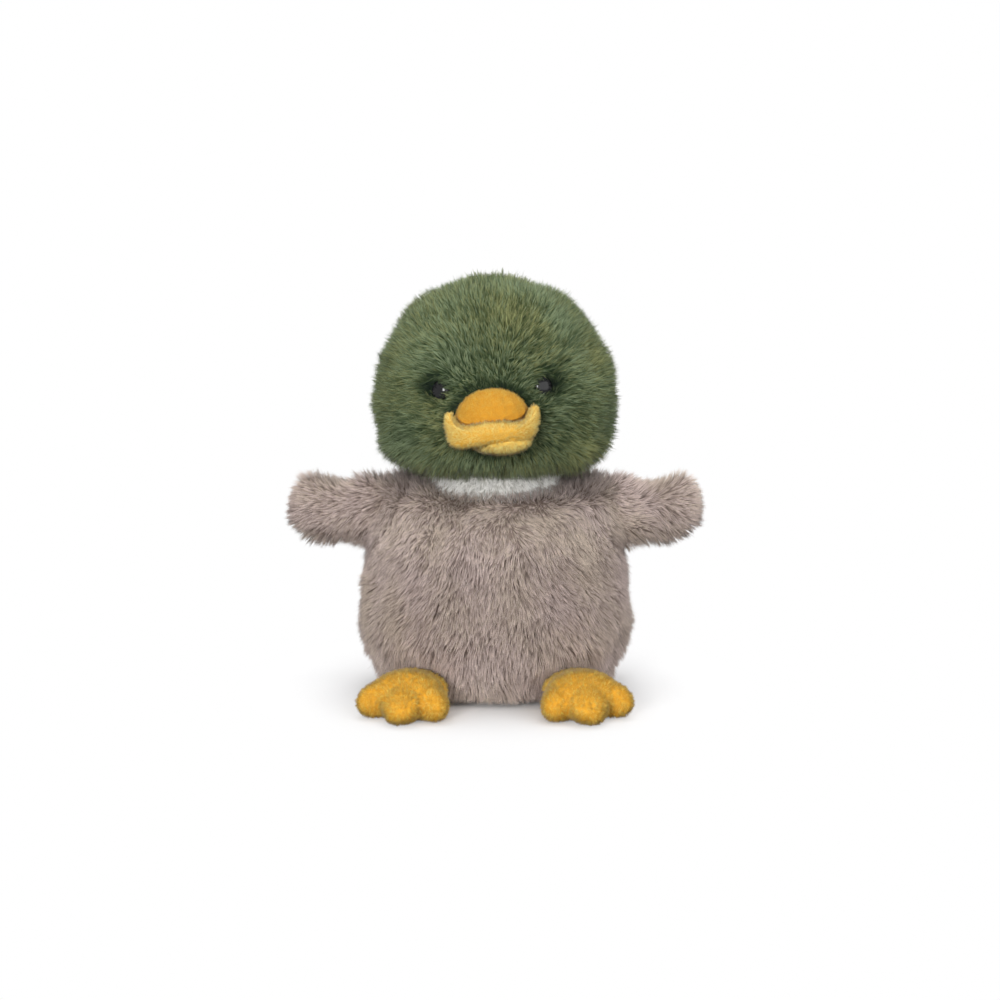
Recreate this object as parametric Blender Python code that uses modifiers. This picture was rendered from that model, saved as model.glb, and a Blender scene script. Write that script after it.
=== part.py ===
"""A sitting plush duck at its real size.

A pear-shaped body on a flat base holds a bag of pellets and stuffing. A banded neck ball carries
a round head with glossy eyes and a padded bill. Two wings, two three-toed feet and a tail are
sewn covers with stuffing of their own.

Lengths are in metres and +Z is up. The duck faces -Y, so its own left is +X. The origin is the
middle of the base, on the surface that the duck sits on.
"""

import math

import bmesh
import bpy
from mathutils import Matrix, Vector

MM = 0.001

# Clearances and fabric
GAP = 0.3 * MM                      # between pieces that lie against each other
TURNING_GAP = 0.5 * MM              # between a ball and the seat that it turns in
STUFFING_SLACK = 0.6 * MM           # between a cover and its stuffing
STUFFING_TIP_SLACK = 0.9 * MM       # more of it at a limb's tip, where the cover narrows
PILE_WALL = 5.0 * MM                # long pile and its backing, on the body and head
LIMB_WALL = 3.0 * MM                # the shorter pile of the wings
TAIL_WALL = 2.5 * MM
FOOT_WALL = 2.2 * MM                # sheared pile
SOLE_THICKNESS = 2.0 * MM
OVERRUN = 4.0 * MM                  # how far a cutter runs past what it cuts
WELD_DISTANCE = 0.001 * MM

# Body
BODY_WIDTH = 117.2 * MM
BODY_DEPTH = 103.2 * MM
BODY_HEIGHT = 87.0 * MM             # from the ground to the neck seam
BODY_WIDEST_Z = 33.0 * MM
BODY_HEM_Z = 0.5 * MM
BELLY_LEAN = 2.0 * MM               # how far the belly leans forward, half way up
BASE_SEAM_RADIUS = 45.0 * MM
BASE_PANEL_THICKNESS = 2.5 * MM
BASE_SEAM_ALLOWANCE = 0.5 * MM      # between the panel's edge and the cover's hem
# Powers of the arcs below and above the widest ring, across and upwards; high ones look square
BODY_POWER_SHARES = ((4.0, 2.0), (4.0, 2.2))

# Pellet bag, low in the body
PELLET_BAG_TOP_Z = 22.0 * MM
PELLET_BAG_WIDEST_Z = 12.0 * MM
PELLET_BAG_SLACK = 6.0 * MM         # between the bag's side and the cover
PELLET_BAG_RIM_SHARE = 0.72         # rim radius as a share of the bag's half width
PELLET_BAG_POWER_SHARES = ((2.2, 2.2), (2.2, 2.2))

# Neck: a ball's zone, in which head and body are seated
NECK_BALL_RADIUS = 28.0 * MM
NECK_PIVOT_RISE = 3.0 * MM          # the ball's middle, above the body's neck seam
NECK_COLLAR_WALL = 3.5 * MM
NECK_COLLAR_BELOW = 9.0 * MM        # how far the collar reaches below the ball's middle
NECK_COLLAR_ABOVE = 8.0 * MM

# Head
HEAD_WIDTH = 105.0 * MM
HEAD_DEPTH = 100.0 * MM
HEAD_HEIGHT = 83.5 * MM             # from its neck seam to its crown
HEAD_HEM_RISE = 2.5 * MM            # its neck seam, above the ball's middle
HEAD_WIDEST_RISE = 31.0 * MM        # its widest ring, above its neck seam
HEAD_POWER_SHARES = ((7.0, 2.0), (2.0, 2.0))
FACE_ROLL = math.radians(2.3)       # the face sits a little higher on the duck's own left

# Eyes, domes on shanks that are locked by washers inside the cover
EYE_SPREAD = 19.8 * MM              # from the middle of the face
EYE_RISE = 7.5 * MM                 # above the head's widest ring
EYE_DOME_RADIUS = 4.0 * MM
EYE_DOME_HEIGHT = 3.2 * MM
EYE_SEAT_DEPTH = 3.7 * MM           # the dome's underside, below the pile's tips
EYE_POCKET_MARGIN = 0.4 * MM
EYE_DIMPLE_RADIUS = 7.5 * MM        # the pile is combed back round the eye
EYE_SHANK_RADIUS = 1.5 * MM
EYE_SHANK_LENGTH = 7.5 * MM
EYE_SHANK_PLAY = 0.2 * MM
WASHER_RADIUS = 5.5 * MM
WASHER_THICKNESS = 1.2 * MM
WASHER_POCKET_MARGIN = 0.7 * MM

# Bill: a smooth crown, a rolled lip whose corners turn up, and a lower roll
BILL_ROLL = math.radians(5.0)
BILL_DROP = 4.5 * MM                # the crown's middle, below the head's widest ring
BILL_CROWN_WIDTH = 30.0 * MM
BILL_CROWN_HEIGHT = 24.6 * MM
BILL_CROWN_REACH = 13.0 * MM        # how far the crown stands out of the face
BILL_LIP_DROP = 5.5 * MM            # the lip's middle, below the crown's
BILL_LIP_WIDTH = 32.6 * MM          # over the corners' centre line
BILL_LIP_REACH = 13.0 * MM          # the lip's front centre line, out of the face
BILL_LIP_CORNER_RISE = 5.5 * MM
BILL_LIP_HEIGHT = 10.2 * MM
BILL_LIP_THICKNESS = 9.0 * MM
BILL_LIP_CORNER_SHARE = 0.72        # the section at the corners, as a share of the middle's
BILL_LIP_SWEEP = math.radians(158)  # the arc that the lip goes round
BILL_LOWER_DROP = 10.0 * MM         # the lower roll's middle, below the crown's
BILL_LOWER_WIDTH = 25.0 * MM
BILL_LOWER_HEIGHT = 8.4 * MM
BILL_LOWER_REACH = 15.5 * MM

# Wings, each hinged in the body about a line from front to back
WING_HINGE_Z = 75.0 * MM
WING_HINGE_OUT = 4.9 * MM           # the hinge line, outside the body's side at that height
WING_ROOT_RADIUS = 17.0 * MM
WING_ROOT_THICKNESS = 20.0 * MM
WING_LENGTH = 35.0 * MM             # from the hinge line to the tip
WING_SEAM_ANGLE = math.radians(35)  # where the root is left open, round from the innermost point
# Share of the length, then shares of the root's radius (top, bottom) and of its thickness
WING_STATION_SHARES = (
    (0.00, 1.00, -1.00, 1.00),
    (0.10, 0.93, -0.97, 1.00),
    (0.26, 0.77, -0.84, 1.00),
    (0.50, 0.86, -0.86, 1.04),
    (0.68, 1.00, -0.76, 1.00),
    (0.82, 0.92, -0.62, 0.86),
    (0.94, 0.54, -0.36, 0.56),
)
WING_TIP_SHARE = 0.08               # the tip's height, as a share of the root's radius

# Feet, each hinged in the body's lower front
FOOT_SPREAD = 33.0 * MM             # the heel's middle, from the middle of the duck
FOOT_SETBACK = 4.5 * MM             # the heel's middle, behind the body's front at that height
FOOT_HINGE_Z = 9.0 * MM
FOOT_YAW = math.radians(10)         # each foot turns outwards
HEEL_RADIUS = 9.2 * MM
HEEL_HALF_WIDTH = 17.0 * MM
TOE_HALF_WIDTH = 7.6 * MM
TOE_HALF_HEIGHT = 8.0 * MM
TOE_CENTRE_Z = 6.5 * MM
TOE_ROOT_REACH = 4.0 * MM           # where a toe starts, in front of the heel's middle
MIDDLE_TOE_REACH = 36.0 * MM        # its tip, from the heel's middle
OUTER_TOE_REACH = 30.0 * MM
INNER_TOE_REACH = 32.0 * MM
OUTER_TOE_SPLAY = math.radians(36)
INNER_TOE_SPLAY = math.radians(-31)
WEB_HALF_WIDTH = 13.5 * MM          # the pad that joins heel and toes
WEB_HALF_LENGTH = 15.0 * MM
WEB_HALF_HEIGHT = 6.8 * MM
WEB_REACH = 12.0 * MM               # its middle, in front of the heel's
WEB_CENTRE_Z = 5.0 * MM

# Tail
TAIL_ROOT_Z = 24.0 * MM
TAIL_RISE = 13.0 * MM               # the tip, above the root
TAIL_REACH = 19.0 * MM              # the tip, behind the body
TAIL_ROOT_DEPTH = 9.0 * MM          # how deep the form starts inside the body
TAIL_HALF_WIDTH = 13.5 * MM
TAIL_HALF_THICKNESS = 8.0 * MM
# Share of the length from root to tip, then shares of the half width and half thickness
TAIL_STATION_SHARES = (
    (0.00, 0.90, 0.95),
    (0.25, 1.00, 1.00),
    (0.50, 0.94, 0.90),
    (0.72, 0.78, 0.75),
    (0.90, 0.52, 0.52),
)
TAIL_CURL_SHARE = 0.35              # how much of the rise is bent towards the tip

# Facets
COVER_SEGMENTS = 24
COVER_LOW_STEPS = 7
COVER_HIGH_STEPS = 8
STUFFING_SEGMENTS = 14
STUFFING_STEPS = 5
BALL_SEGMENTS = 24
BALL_RINGS = 16
LIMB_SEGMENTS = 16
LIMB_ROOT_RINGS = 4
SMALL_SEGMENTS = 16
SMALL_RINGS = 9
TOE_SEGMENTS = 12
TOE_RINGS = 8
TOE_INSIDE_SEGMENTS = 8
TOE_INSIDE_RINGS = 6
LIP_STATIONS = 13
SHARP_ANGLE = math.radians(50)


# Names, colours and finishes: red, green, blue, roughness, metallic
FINISHES = {
    "green_pile": (0.085, 0.135, 0.070, 0.95, 0.0),
    "taupe_pile": (0.215, 0.175, 0.135, 0.95, 0.0),
    "white_pile": (0.720, 0.700, 0.650, 0.95, 0.0),
    "orange_plush": (0.760, 0.330, 0.040, 0.80, 0.0),
    "gold_pile": (0.780, 0.420, 0.080, 0.90, 0.0),
    "black_gloss": (0.008, 0.008, 0.008, 0.08, 0.0),
    "grey_plastic": (0.550, 0.550, 0.540, 0.50, 0.0),
    "white_fibre": (0.850, 0.850, 0.830, 0.95, 0.0),
    "pellet_cloth": (0.500, 0.520, 0.480, 0.90, 0.0),
}


class EggForm:
    """An upright oval form: a low rim, an arc out to its widest ring, an arc in to its high rim."""

    def __init__(self, half_width, half_depth, widest_z, low_rim, high_rim, power_shares, lean=0.0):
        self.half_width = half_width
        self.depth_share = half_depth / half_width
        self.widest_z = widest_z
        self.low_rim = low_rim
        self.high_rim = high_rim
        self.power_shares = power_shares
        self.lean = lean

    def arc(self, upper):
        """Powers across and upwards, height to the rim, and height at which the arc would close."""
        rim_radius, rim_z = self.high_rim if upper else self.low_rim
        across, upward = self.power_shares[1 if upper else 0]
        height = abs(rim_z - self.widest_z)
        closing = height / (1 - (rim_radius / self.half_width) ** across) ** (1 / upward)
        return across, upward, height, closing

    def radius_at(self, z):
        """Half width at a height."""
        across, upward, _, closing = self.arc(z > self.widest_z)
        share = min(1, abs(z - self.widest_z) / closing)
        return self.half_width * (1 - share ** upward) ** (1 / across)

    def lean_at(self, z):
        """How far forward the form leans at a height."""
        share = (z - self.low_rim[1]) / (self.high_rim[1] - self.low_rim[1])
        return self.lean * math.sin(math.pi * min(1, max(0, share)))

    def front_at(self, x, z):
        """The point of the surface that faces forward at a place across and a height."""
        radius = self.radius_at(z)
        reach = self.depth_share * math.sqrt(max(0, radius ** 2 - x ** 2))
        return Vector((x, -reach - self.lean_at(z), z))

    def normal_at(self, x, z):
        """The outward direction at that point, from two short steps over the surface."""
        step = self.half_width / 100
        across = self.front_at(x + step, z) - self.front_at(x - step, z)
        upward = self.front_at(x, z + step) - self.front_at(x, z - step)
        return across.cross(upward).normalized()

    def profile(self, low_steps, high_steps):
        """Radius and height of each ring, from the low rim to the high rim."""
        points = []
        for upper, steps in ((False, low_steps), (True, high_steps)):
            across, upward, height, closing = self.arc(upper)
            end = math.asin(min(1, (height / closing) ** (upward / 2)))
            arc = []
            for step in range(steps + 1):
                turn = end * step / steps
                radius = self.half_width * max(0, math.cos(turn)) ** (2 / across)
                rise = closing * math.sin(turn) ** (2 / upward)
                arc.append((radius, self.widest_z + (rise if upper else -rise)))
            points += arc[1:] if upper else arc[::-1]
        return points


def turned_mesh(profile, segments, depth_share=1.0):
    """A profile of radii and heights, turned once round Z and made oval."""
    mesh = bmesh.new()
    verts = [mesh.verts.new((radius, 0, z)) for radius, z in profile]
    edges = [mesh.edges.new(pair) for pair in zip(verts, verts[1:])]
    bmesh.ops.spin(
        mesh, geom=verts + edges, cent=(0, 0, 0), axis=(0, 0, 1), angle=math.tau, steps=segments
    )
    bmesh.ops.remove_doubles(mesh, verts=mesh.verts, dist=WELD_DISTANCE)
    bmesh.ops.scale(mesh, vec=(1, depth_share, 1), verts=mesh.verts)
    face_outward(mesh)
    return mesh


def ellipsoid_mesh(half_sizes, segments=SMALL_SEGMENTS, rings=SMALL_RINGS):
    """A ball stretched to three half sizes, with its poles at the top and bottom."""
    mesh = bmesh.new()
    bmesh.ops.create_uvsphere(mesh, u_segments=segments, v_segments=rings, radius=1)
    bmesh.ops.scale(mesh, vec=half_sizes, verts=mesh.verts)
    return mesh


def box_mesh(size, centre):
    """A box of three sizes about its centre."""
    mesh = bmesh.new()
    bmesh.ops.create_cube(mesh, size=1)
    bmesh.ops.scale(mesh, vec=size, verts=mesh.verts)
    bmesh.ops.translate(mesh, vec=centre, verts=mesh.verts)
    return mesh


def lofted_mesh(stations, poles, segments):
    """A ball whose rings are moved to stations: centre, side vector and up vector.

    The first pole may be None, which leaves that end open.
    """
    mesh = bmesh.new()
    rings = len(stations) + 1
    bmesh.ops.create_uvsphere(mesh, u_segments=segments, v_segments=rings, radius=1)
    for vert in list(mesh.verts):
        ring = round(math.acos(max(-1, min(1, vert.co.z))) / math.pi * rings)
        if ring == 0 and poles[0] is None:
            mesh.verts.remove(vert)
        elif ring in (0, rings):
            vert.co = poles[0] if ring == 0 else poles[1]
        else:
            turn = math.atan2(vert.co.y, vert.co.x)
            centre, side, up = stations[ring - 1]
            vert.co = centre + side * math.cos(turn) + up * math.sin(turn)
    face_outward(mesh)
    return mesh


def face_outward(mesh):
    """Turn every face of a nearly closed mesh away from its middle."""
    bmesh.ops.recalc_face_normals(mesh, faces=mesh.faces)
    middle = sum((vert.co for vert in mesh.verts), Vector()) / len(mesh.verts)
    outward = sum(
        (face.calc_center_median() - middle).dot(face.normal) * face.calc_area()
        for face in mesh.faces
    )
    if outward < 0:
        bmesh.ops.reverse_faces(mesh, faces=mesh.faces)
    mesh.normal_update()


def grow(mesh, distance):
    """Move every point along its normal; a negative distance shrinks the form."""
    mesh.normal_update()
    for vert, normal in [(vert, vert.normal.copy()) for vert in mesh.verts]:
        vert.co += normal * distance
    return mesh


def lean_forward(mesh, form):
    """Lean a mesh forward as its form leans."""
    for vert in mesh.verts:
        vert.co.y -= form.lean_at(vert.co.z)
    return mesh


def slice_level(mesh, low_z, high_z):
    """Keep what lies between two levels, with flat faces there."""
    for level, up in ((low_z, -1), (high_z, 1)):
        cut = bmesh.ops.bisect_plane(
            mesh, geom=mesh.verts[:] + mesh.edges[:] + mesh.faces[:], dist=WELD_DISTANCE,
            plane_co=(0, 0, level), plane_no=(0, 0, up), clear_outer=True,
        )
        rim = [item for item in cut["geom_cut"] if isinstance(item, bmesh.types.BMEdge)]
        bmesh.ops.holes_fill(mesh, edges=rim)
    face_outward(mesh)
    return mesh


def new_object(name, mesh, collection, finish=None, pivot=None):
    """Make an object of a mesh, smooth where it is round, hung on its pivot."""
    data = bpy.data.meshes.new(name)
    mesh.to_mesh(data)
    mesh.free()
    data.shade_smooth()
    data.set_sharp_from_angle(angle=SHARP_ANGLE)
    obj = bpy.data.objects.new(name, data)
    collection.objects.link(obj)
    if finish:
        data.materials.append(material(finish))
    if pivot:
        obj.parent = pivot
        obj.matrix_parent_inverse = pivot.matrix_world.inverted()
    return obj


def part(name, mesh, finish, pivot=None):
    """A piece of the duck."""
    return new_object(name, mesh, PARTS, finish, pivot)


def cutter(name, mesh):
    """A shape that only cuts or joins other pieces."""
    obj = new_object(name, mesh, CUTTERS)
    obj.hide_render = True
    obj.display_type = "WIRE"
    return obj


def combine(obj, other, operation):
    """Cut, join or keep what two objects share, with a Boolean modifier."""
    modifier = obj.modifiers.new(operation.lower() + "_" + other.name, "BOOLEAN")
    modifier.operation = operation
    modifier.solver = "EXACT"
    modifier.object = other


def cut(obj, *cutters):
    """Cut an object by each cutter in turn."""
    for other in cutters:
        combine(obj, other, "DIFFERENCE")


def thicken_inward(obj, wall):
    """Give an open surface a wall inside it."""
    modifier = obj.modifiers.new("wall", "SOLIDIFY")
    modifier.thickness = wall
    modifier.offset = -1
    modifier.use_even_offset = True
    modifier.use_quality_normals = True


def material(name):
    """The named finish, made once."""
    found = bpy.data.materials.get(name)
    if found:
        return found
    red, green, blue, roughness, metallic = FINISHES[name]
    made = bpy.data.materials.new(name)
    made.use_nodes = True
    made.diffuse_color = (red, green, blue, 1)
    shader = made.node_tree.nodes["Principled BSDF"]
    shader.inputs["Base Color"].default_value = (red, green, blue, 1)
    shader.inputs["Roughness"].default_value = roughness
    shader.inputs["Metallic"].default_value = metallic
    return made


def new_pivot(name, location, yaw=0.0, parent=None):
    """An empty on a joint's axis."""
    pivot = bpy.data.objects.new(name, None)
    pivot.empty_display_size = NECK_BALL_RADIUS
    PARTS.objects.link(pivot)
    pivot.location = location
    pivot.rotation_euler = (0, 0, yaw)
    pivot.parent = parent
    bpy.context.view_layer.update()
    return pivot


def ball(name, centre, radius):
    """A ball as a cutter."""
    mesh = bmesh.new()
    bmesh.ops.create_uvsphere(mesh, u_segments=BALL_SEGMENTS, v_segments=BALL_RINGS, radius=radius)
    bmesh.ops.translate(mesh, vec=centre, verts=mesh.verts)
    return cutter(name, mesh)


def closed_form(form, segments, low_steps, high_steps, growth):
    """An egg form closed at both rims, leaned, then grown or shrunk."""
    profile = form.profile(low_steps, high_steps)
    ends = [(0, form.low_rim[1])], [(0, form.high_rim[1])]
    if form.high_rim[0] == 0:
        ends = ends[0], []
    mesh = turned_mesh(ends[0] + profile + ends[1], segments, form.depth_share)
    return grow(lean_forward(mesh, form), growth)


def body_form():
    """The body's outer form."""
    return EggForm(
        BODY_WIDTH / 2, BODY_DEPTH / 2, BODY_WIDEST_Z,
        (BASE_SEAM_RADIUS, BODY_HEM_Z), (NECK_BALL_RADIUS, BODY_HEIGHT),
        BODY_POWER_SHARES, BELLY_LEAN,
    )


def head_form():
    """The head's outer form."""
    hem_z = NECK_CENTRE.z + HEAD_HEM_RISE
    return EggForm(
        HEAD_WIDTH / 2, HEAD_DEPTH / 2, hem_z + HEAD_WIDEST_RISE,
        (NECK_BALL_RADIUS, hem_z), (0, hem_z + HEAD_HEIGHT),
        HEAD_POWER_SHARES,
    )


def make_body(form, seats):
    """The body's cover, base panel, pellet bag and stuffing."""
    profile = form.profile(COVER_LOW_STEPS, COVER_HIGH_STEPS)
    surface = lean_forward(turned_mesh(profile, COVER_SEGMENTS, form.depth_share), form)
    cover = part("body_cover", surface, "taupe_pile")
    thicken_inward(cover, PILE_WALL)
    cut(cover, *seats)

    (rim_radius, rim_z), (next_radius, next_z) = profile[:2]
    hem_slope = (next_z - rim_z) / (next_radius - rim_radius)
    foot_radius = rim_radius - BASE_SEAM_ALLOWANCE
    top_radius = foot_radius - BASE_PANEL_THICKNESS * hem_slope
    panel = [(0, 0), (foot_radius, 0), (top_radius, BASE_PANEL_THICKNESS), (0, BASE_PANEL_THICKNESS)]
    part("base_panel", turned_mesh(panel, COVER_SEGMENTS, form.depth_share), "taupe_pile")

    bag_half_width = form.radius_at(PELLET_BAG_WIDEST_Z) - PILE_WALL - PELLET_BAG_SLACK
    bag_rim = bag_half_width * PELLET_BAG_RIM_SHARE
    bag = EggForm(
        bag_half_width, bag_half_width * form.depth_share, PELLET_BAG_WIDEST_Z,
        (bag_rim, BASE_PANEL_THICKNESS + GAP), (bag_rim, PELLET_BAG_TOP_Z),
        PELLET_BAG_POWER_SHARES,
    )
    bag_mesh = closed_form(bag, STUFFING_SEGMENTS, STUFFING_STEPS, STUFFING_STEPS, 0)
    part("pellet_bag", bag_mesh, "pellet_cloth")

    inside = closed_form(
        form, STUFFING_SEGMENTS, STUFFING_STEPS, STUFFING_STEPS, -PILE_WALL - STUFFING_SLACK
    )
    collar_bottom = NECK_CENTRE.z - NECK_COLLAR_BELOW
    inside = slice_level(inside, PELLET_BAG_TOP_Z + STUFFING_SLACK, collar_bottom - GAP)
    stuffing = part("body_stuffing", inside, "white_fibre")
    cut(stuffing, *seats)


def make_neck(pivot):
    """The collar, a zone of a ball's shell, and the stuffing inside it."""
    low_turn = math.asin(-NECK_COLLAR_BELOW / NECK_BALL_RADIUS)
    high_turn = math.asin(NECK_COLLAR_ABOVE / NECK_BALL_RADIUS)
    inner_radius = NECK_BALL_RADIUS - NECK_COLLAR_WALL

    def zone(radius, steps=5):
        turns = [low_turn + (high_turn - low_turn) * step / steps for step in range(steps + 1)]
        return [(radius * math.cos(t), NECK_CENTRE.z + NECK_BALL_RADIUS * math.sin(t)) for t in turns]

    outer, inner = zone(NECK_BALL_RADIUS), zone(inner_radius)
    ring = outer + inner[::-1] + outer[:1]
    part("neck_collar", turned_mesh(ring, BALL_SEGMENTS), "white_pile", pivot)

    fill = zone(inner_radius - STUFFING_SLACK)
    fill = [(0, fill[0][1])] + fill + [(0, fill[-1][1])]
    part("neck_stuffing", turned_mesh(fill, STUFFING_SEGMENTS), "white_fibre", pivot)


def eye_frames(form):
    """Where each eye sits: a frame on the head's surface whose Z points outwards."""
    frames = {}
    for side_name, side in (("left", 1), ("right", -1)):
        x = EYE_SPREAD * side
        z = form.widest_z + EYE_RISE + x * math.sin(FACE_ROLL)
        turn = form.normal_at(x, z).to_track_quat("Z", "Y")
        frames[side_name] = Matrix.Translation(form.front_at(x, z)) @ turn.to_matrix().to_4x4()
    return frames


def make_eye(side_name, frame, form, pivot):
    """An eye with its shank and washer; returns what they cut from the cover and stuffing."""
    steps = 6
    dome = []
    for step in range(steps + 1):
        turn = math.pi / 2 * step / steps
        height = EYE_DOME_HEIGHT * math.sin(turn) - EYE_SEAT_DEPTH
        dome.append((EYE_DOME_RADIUS * math.cos(turn), height))
    shank_end = -EYE_SEAT_DEPTH - EYE_SHANK_LENGTH
    shank = [(0, shank_end), (EYE_SHANK_RADIUS, shank_end), (EYE_SHANK_RADIUS, -EYE_SEAT_DEPTH)]
    eye_mesh = turned_mesh(shank + dome, SMALL_SEGMENTS)
    eye_mesh.transform(frame)
    part("eye_" + side_name, eye_mesh, "black_gloss", pivot)

    hollow_radius = min(form.half_width, form.half_width * form.depth_share) - PILE_WALL
    curve_drop = WASHER_RADIUS ** 2 / (2 * hollow_radius)
    facet_drop = 2 * form.half_width * (1 - math.cos(math.pi / COVER_SEGMENTS))
    washer_top = -PILE_WALL - curve_drop - facet_drop - GAP
    bore = EYE_SHANK_RADIUS + EYE_SHANK_PLAY
    section = [
        (bore, washer_top - WASHER_THICKNESS), (WASHER_RADIUS, washer_top - WASHER_THICKNESS),
        (WASHER_RADIUS, washer_top), (bore, washer_top),
    ]
    washer_mesh = turned_mesh(section + section[:1], SMALL_SEGMENTS)
    washer_mesh.transform(frame)
    part("eye_washer_" + side_name, washer_mesh, "grey_plastic", pivot)

    floor = -EYE_SEAT_DEPTH - GAP
    pocket_end = shank_end - OVERRUN
    pocket = [
        (0, pocket_end), (bore, pocket_end), (bore, floor),
        (EYE_DOME_RADIUS + EYE_POCKET_MARGIN, floor), (EYE_DIMPLE_RADIUS, 0),
        (EYE_DIMPLE_RADIUS, OVERRUN), (0, OVERRUN),
    ]
    pocket_mesh = turned_mesh(pocket, SMALL_SEGMENTS)
    pocket_mesh.transform(frame)

    well_radius = WASHER_RADIUS + WASHER_POCKET_MARGIN
    well_end = shank_end - STUFFING_SLACK
    well = [(0, well_end), (well_radius, well_end), (well_radius, OVERRUN), (0, OVERRUN)]
    well_mesh = turned_mesh(well, SMALL_SEGMENTS)
    well_mesh.transform(frame)
    return cutter("eye_pocket_" + side_name, pocket_mesh), cutter("eye_well_" + side_name, well_mesh)


def make_head(form, neck_seat, pivot):
    """The head's cover, its stuffing and its eyes."""
    surface = turned_mesh(form.profile(COVER_LOW_STEPS, COVER_HIGH_STEPS), COVER_SEGMENTS, form.depth_share)
    cover = part("head_cover", surface, "green_pile", pivot)
    thicken_inward(cover, PILE_WALL)
    cut(cover, neck_seat)

    inside = closed_form(
        form, STUFFING_SEGMENTS, STUFFING_STEPS, STUFFING_STEPS + 2, -PILE_WALL - STUFFING_SLACK
    )
    stuffing = part("head_stuffing", inside, "white_fibre", pivot)
    column_radius = NECK_BALL_RADIUS + STUFFING_SLACK
    column_top = NECK_CENTRE.z + NECK_COLLAR_ABOVE + PILE_WALL
    column = [
        (0, NECK_CENTRE.z - OVERRUN), (column_radius, NECK_CENTRE.z - OVERRUN),
        (column_radius, column_top), (0, column_top),
    ]
    cut(stuffing, cutter("neck_column", turned_mesh(column, BALL_SEGMENTS)))

    for side_name, frame in eye_frames(form).items():
        pocket, well = make_eye(side_name, frame, form, pivot)
        cut(cover, pocket)
        cut(stuffing, well)


def lip_mesh(centre, face_y, growth):
    """The lip's roll: an arc from corner to corner, thinner and higher at its ends."""
    stations = []
    for step in range(LIP_STATIONS):
        across = -1 + 2 * step / (LIP_STATIONS - 1)
        turn = across * BILL_LIP_SWEEP / 2
        share = 1 - (1 - BILL_LIP_CORNER_SHARE) * across ** 2
        spot = Vector((
            BILL_LIP_WIDTH / 2 * math.sin(turn),
            face_y - BILL_LIP_REACH * math.cos(turn),
            centre.z - BILL_LIP_DROP + BILL_LIP_CORNER_RISE * abs(across) ** 3,
        ))
        outward = Vector((math.sin(turn), -math.cos(turn), 0))
        half_thickness = BILL_LIP_THICKNESS / 2 * share + growth
        half_height = BILL_LIP_HEIGHT / 2 * share + growth
        stations.append((spot, outward * half_thickness, Vector((0, 0, half_height))))
    tips = []
    for end in (0, -1):
        spot, outward, up = stations[end]
        along = (spot - stations[1 if end == 0 else -2][0]).normalized()
        tips.append(spot + along * up.length)
    return lofted_mesh(stations, tips, TOE_SEGMENTS)


def make_bill(form, pivot):
    """The crown, the rolled lip and the lower roll, each cut by the head and by what it meets."""
    centre = Vector((0, 0, form.widest_z - BILL_DROP))
    face_y = form.front_at(0, centre.z).y
    roll = Matrix.Translation(centre) @ Matrix.Rotation(-BILL_ROLL, 4, "Y") @ Matrix.Translation(-centre)
    head_cut = cutter(
        "head_outside", closed_form(form, COVER_SEGMENTS, COVER_LOW_STEPS, COVER_HIGH_STEPS, GAP)
    )

    def rolled(mesh):
        mesh.transform(roll)
        return mesh

    def blob(size, drop, reach, growth):
        """An ellipsoid, half inside the face."""
        width, height = size
        mesh = ellipsoid_mesh((width / 2 + growth, reach + growth, height / 2 + growth))
        bmesh.ops.translate(mesh, vec=(0, face_y, centre.z - drop), verts=mesh.verts)
        return rolled(mesh)

    lip = part("bill_lip", rolled(lip_mesh(centre, face_y, 0)), "gold_pile", pivot)
    cut(lip, head_cut)
    lip_cut = cutter("bill_lip_outside", rolled(lip_mesh(centre, face_y, GAP)))

    crown_size = (BILL_CROWN_WIDTH, BILL_CROWN_HEIGHT)
    crown_mesh = blob(crown_size, 0, BILL_CROWN_REACH, 0)
    crown = part("bill_crown", crown_mesh, "orange_plush", pivot)
    cut(crown, head_cut, lip_cut)
    below_lip = box_mesh(
        (BILL_LIP_WIDTH, 2 * BILL_LIP_REACH + OVERRUN, BILL_CROWN_HEIGHT),
        (0, face_y, centre.z - BILL_LIP_DROP - BILL_CROWN_HEIGHT / 2),
    )
    cut(crown, cutter("below_lip", rolled(below_lip)))

    lower_size = (BILL_LOWER_WIDTH, BILL_LOWER_HEIGHT)
    lower = part("lower_bill", blob(lower_size, BILL_LOWER_DROP, BILL_LOWER_REACH, 0), "gold_pile", pivot)
    cut(lower, head_cut, lip_cut)


def wing_stations(side, hinge):
    """Rings from the open root, round the ball about the hinge line, to the tip."""
    half_thickness = WING_ROOT_THICKNESS / 2
    stations = []
    for step in range(LIMB_ROOT_RINGS):
        turn = WING_SEAM_ANGLE + (math.pi / 2 - WING_SEAM_ANGLE) * step / LIMB_ROOT_RINGS
        spot = hinge - Vector((side * WING_ROOT_RADIUS * math.cos(turn), 0, 0))
        across = Vector((0, half_thickness * math.sin(turn), 0))
        stations.append((spot, across, Vector((0, 0, WING_ROOT_RADIUS * math.sin(turn)))))
    for length_share, top_share, bottom_share, thickness_share in WING_STATION_SHARES:
        middle = (top_share + bottom_share) / 2 * WING_ROOT_RADIUS
        half_height = (top_share - bottom_share) / 2 * WING_ROOT_RADIUS
        spot = hinge + Vector((side * length_share * WING_LENGTH, 0, middle))
        across = Vector((0, half_thickness * thickness_share, 0))
        stations.append((spot, across, Vector((0, 0, half_height))))
    tip = hinge + Vector((side * WING_LENGTH, 0, WING_TIP_SHARE * WING_ROOT_RADIUS))
    return stations, tip


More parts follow.
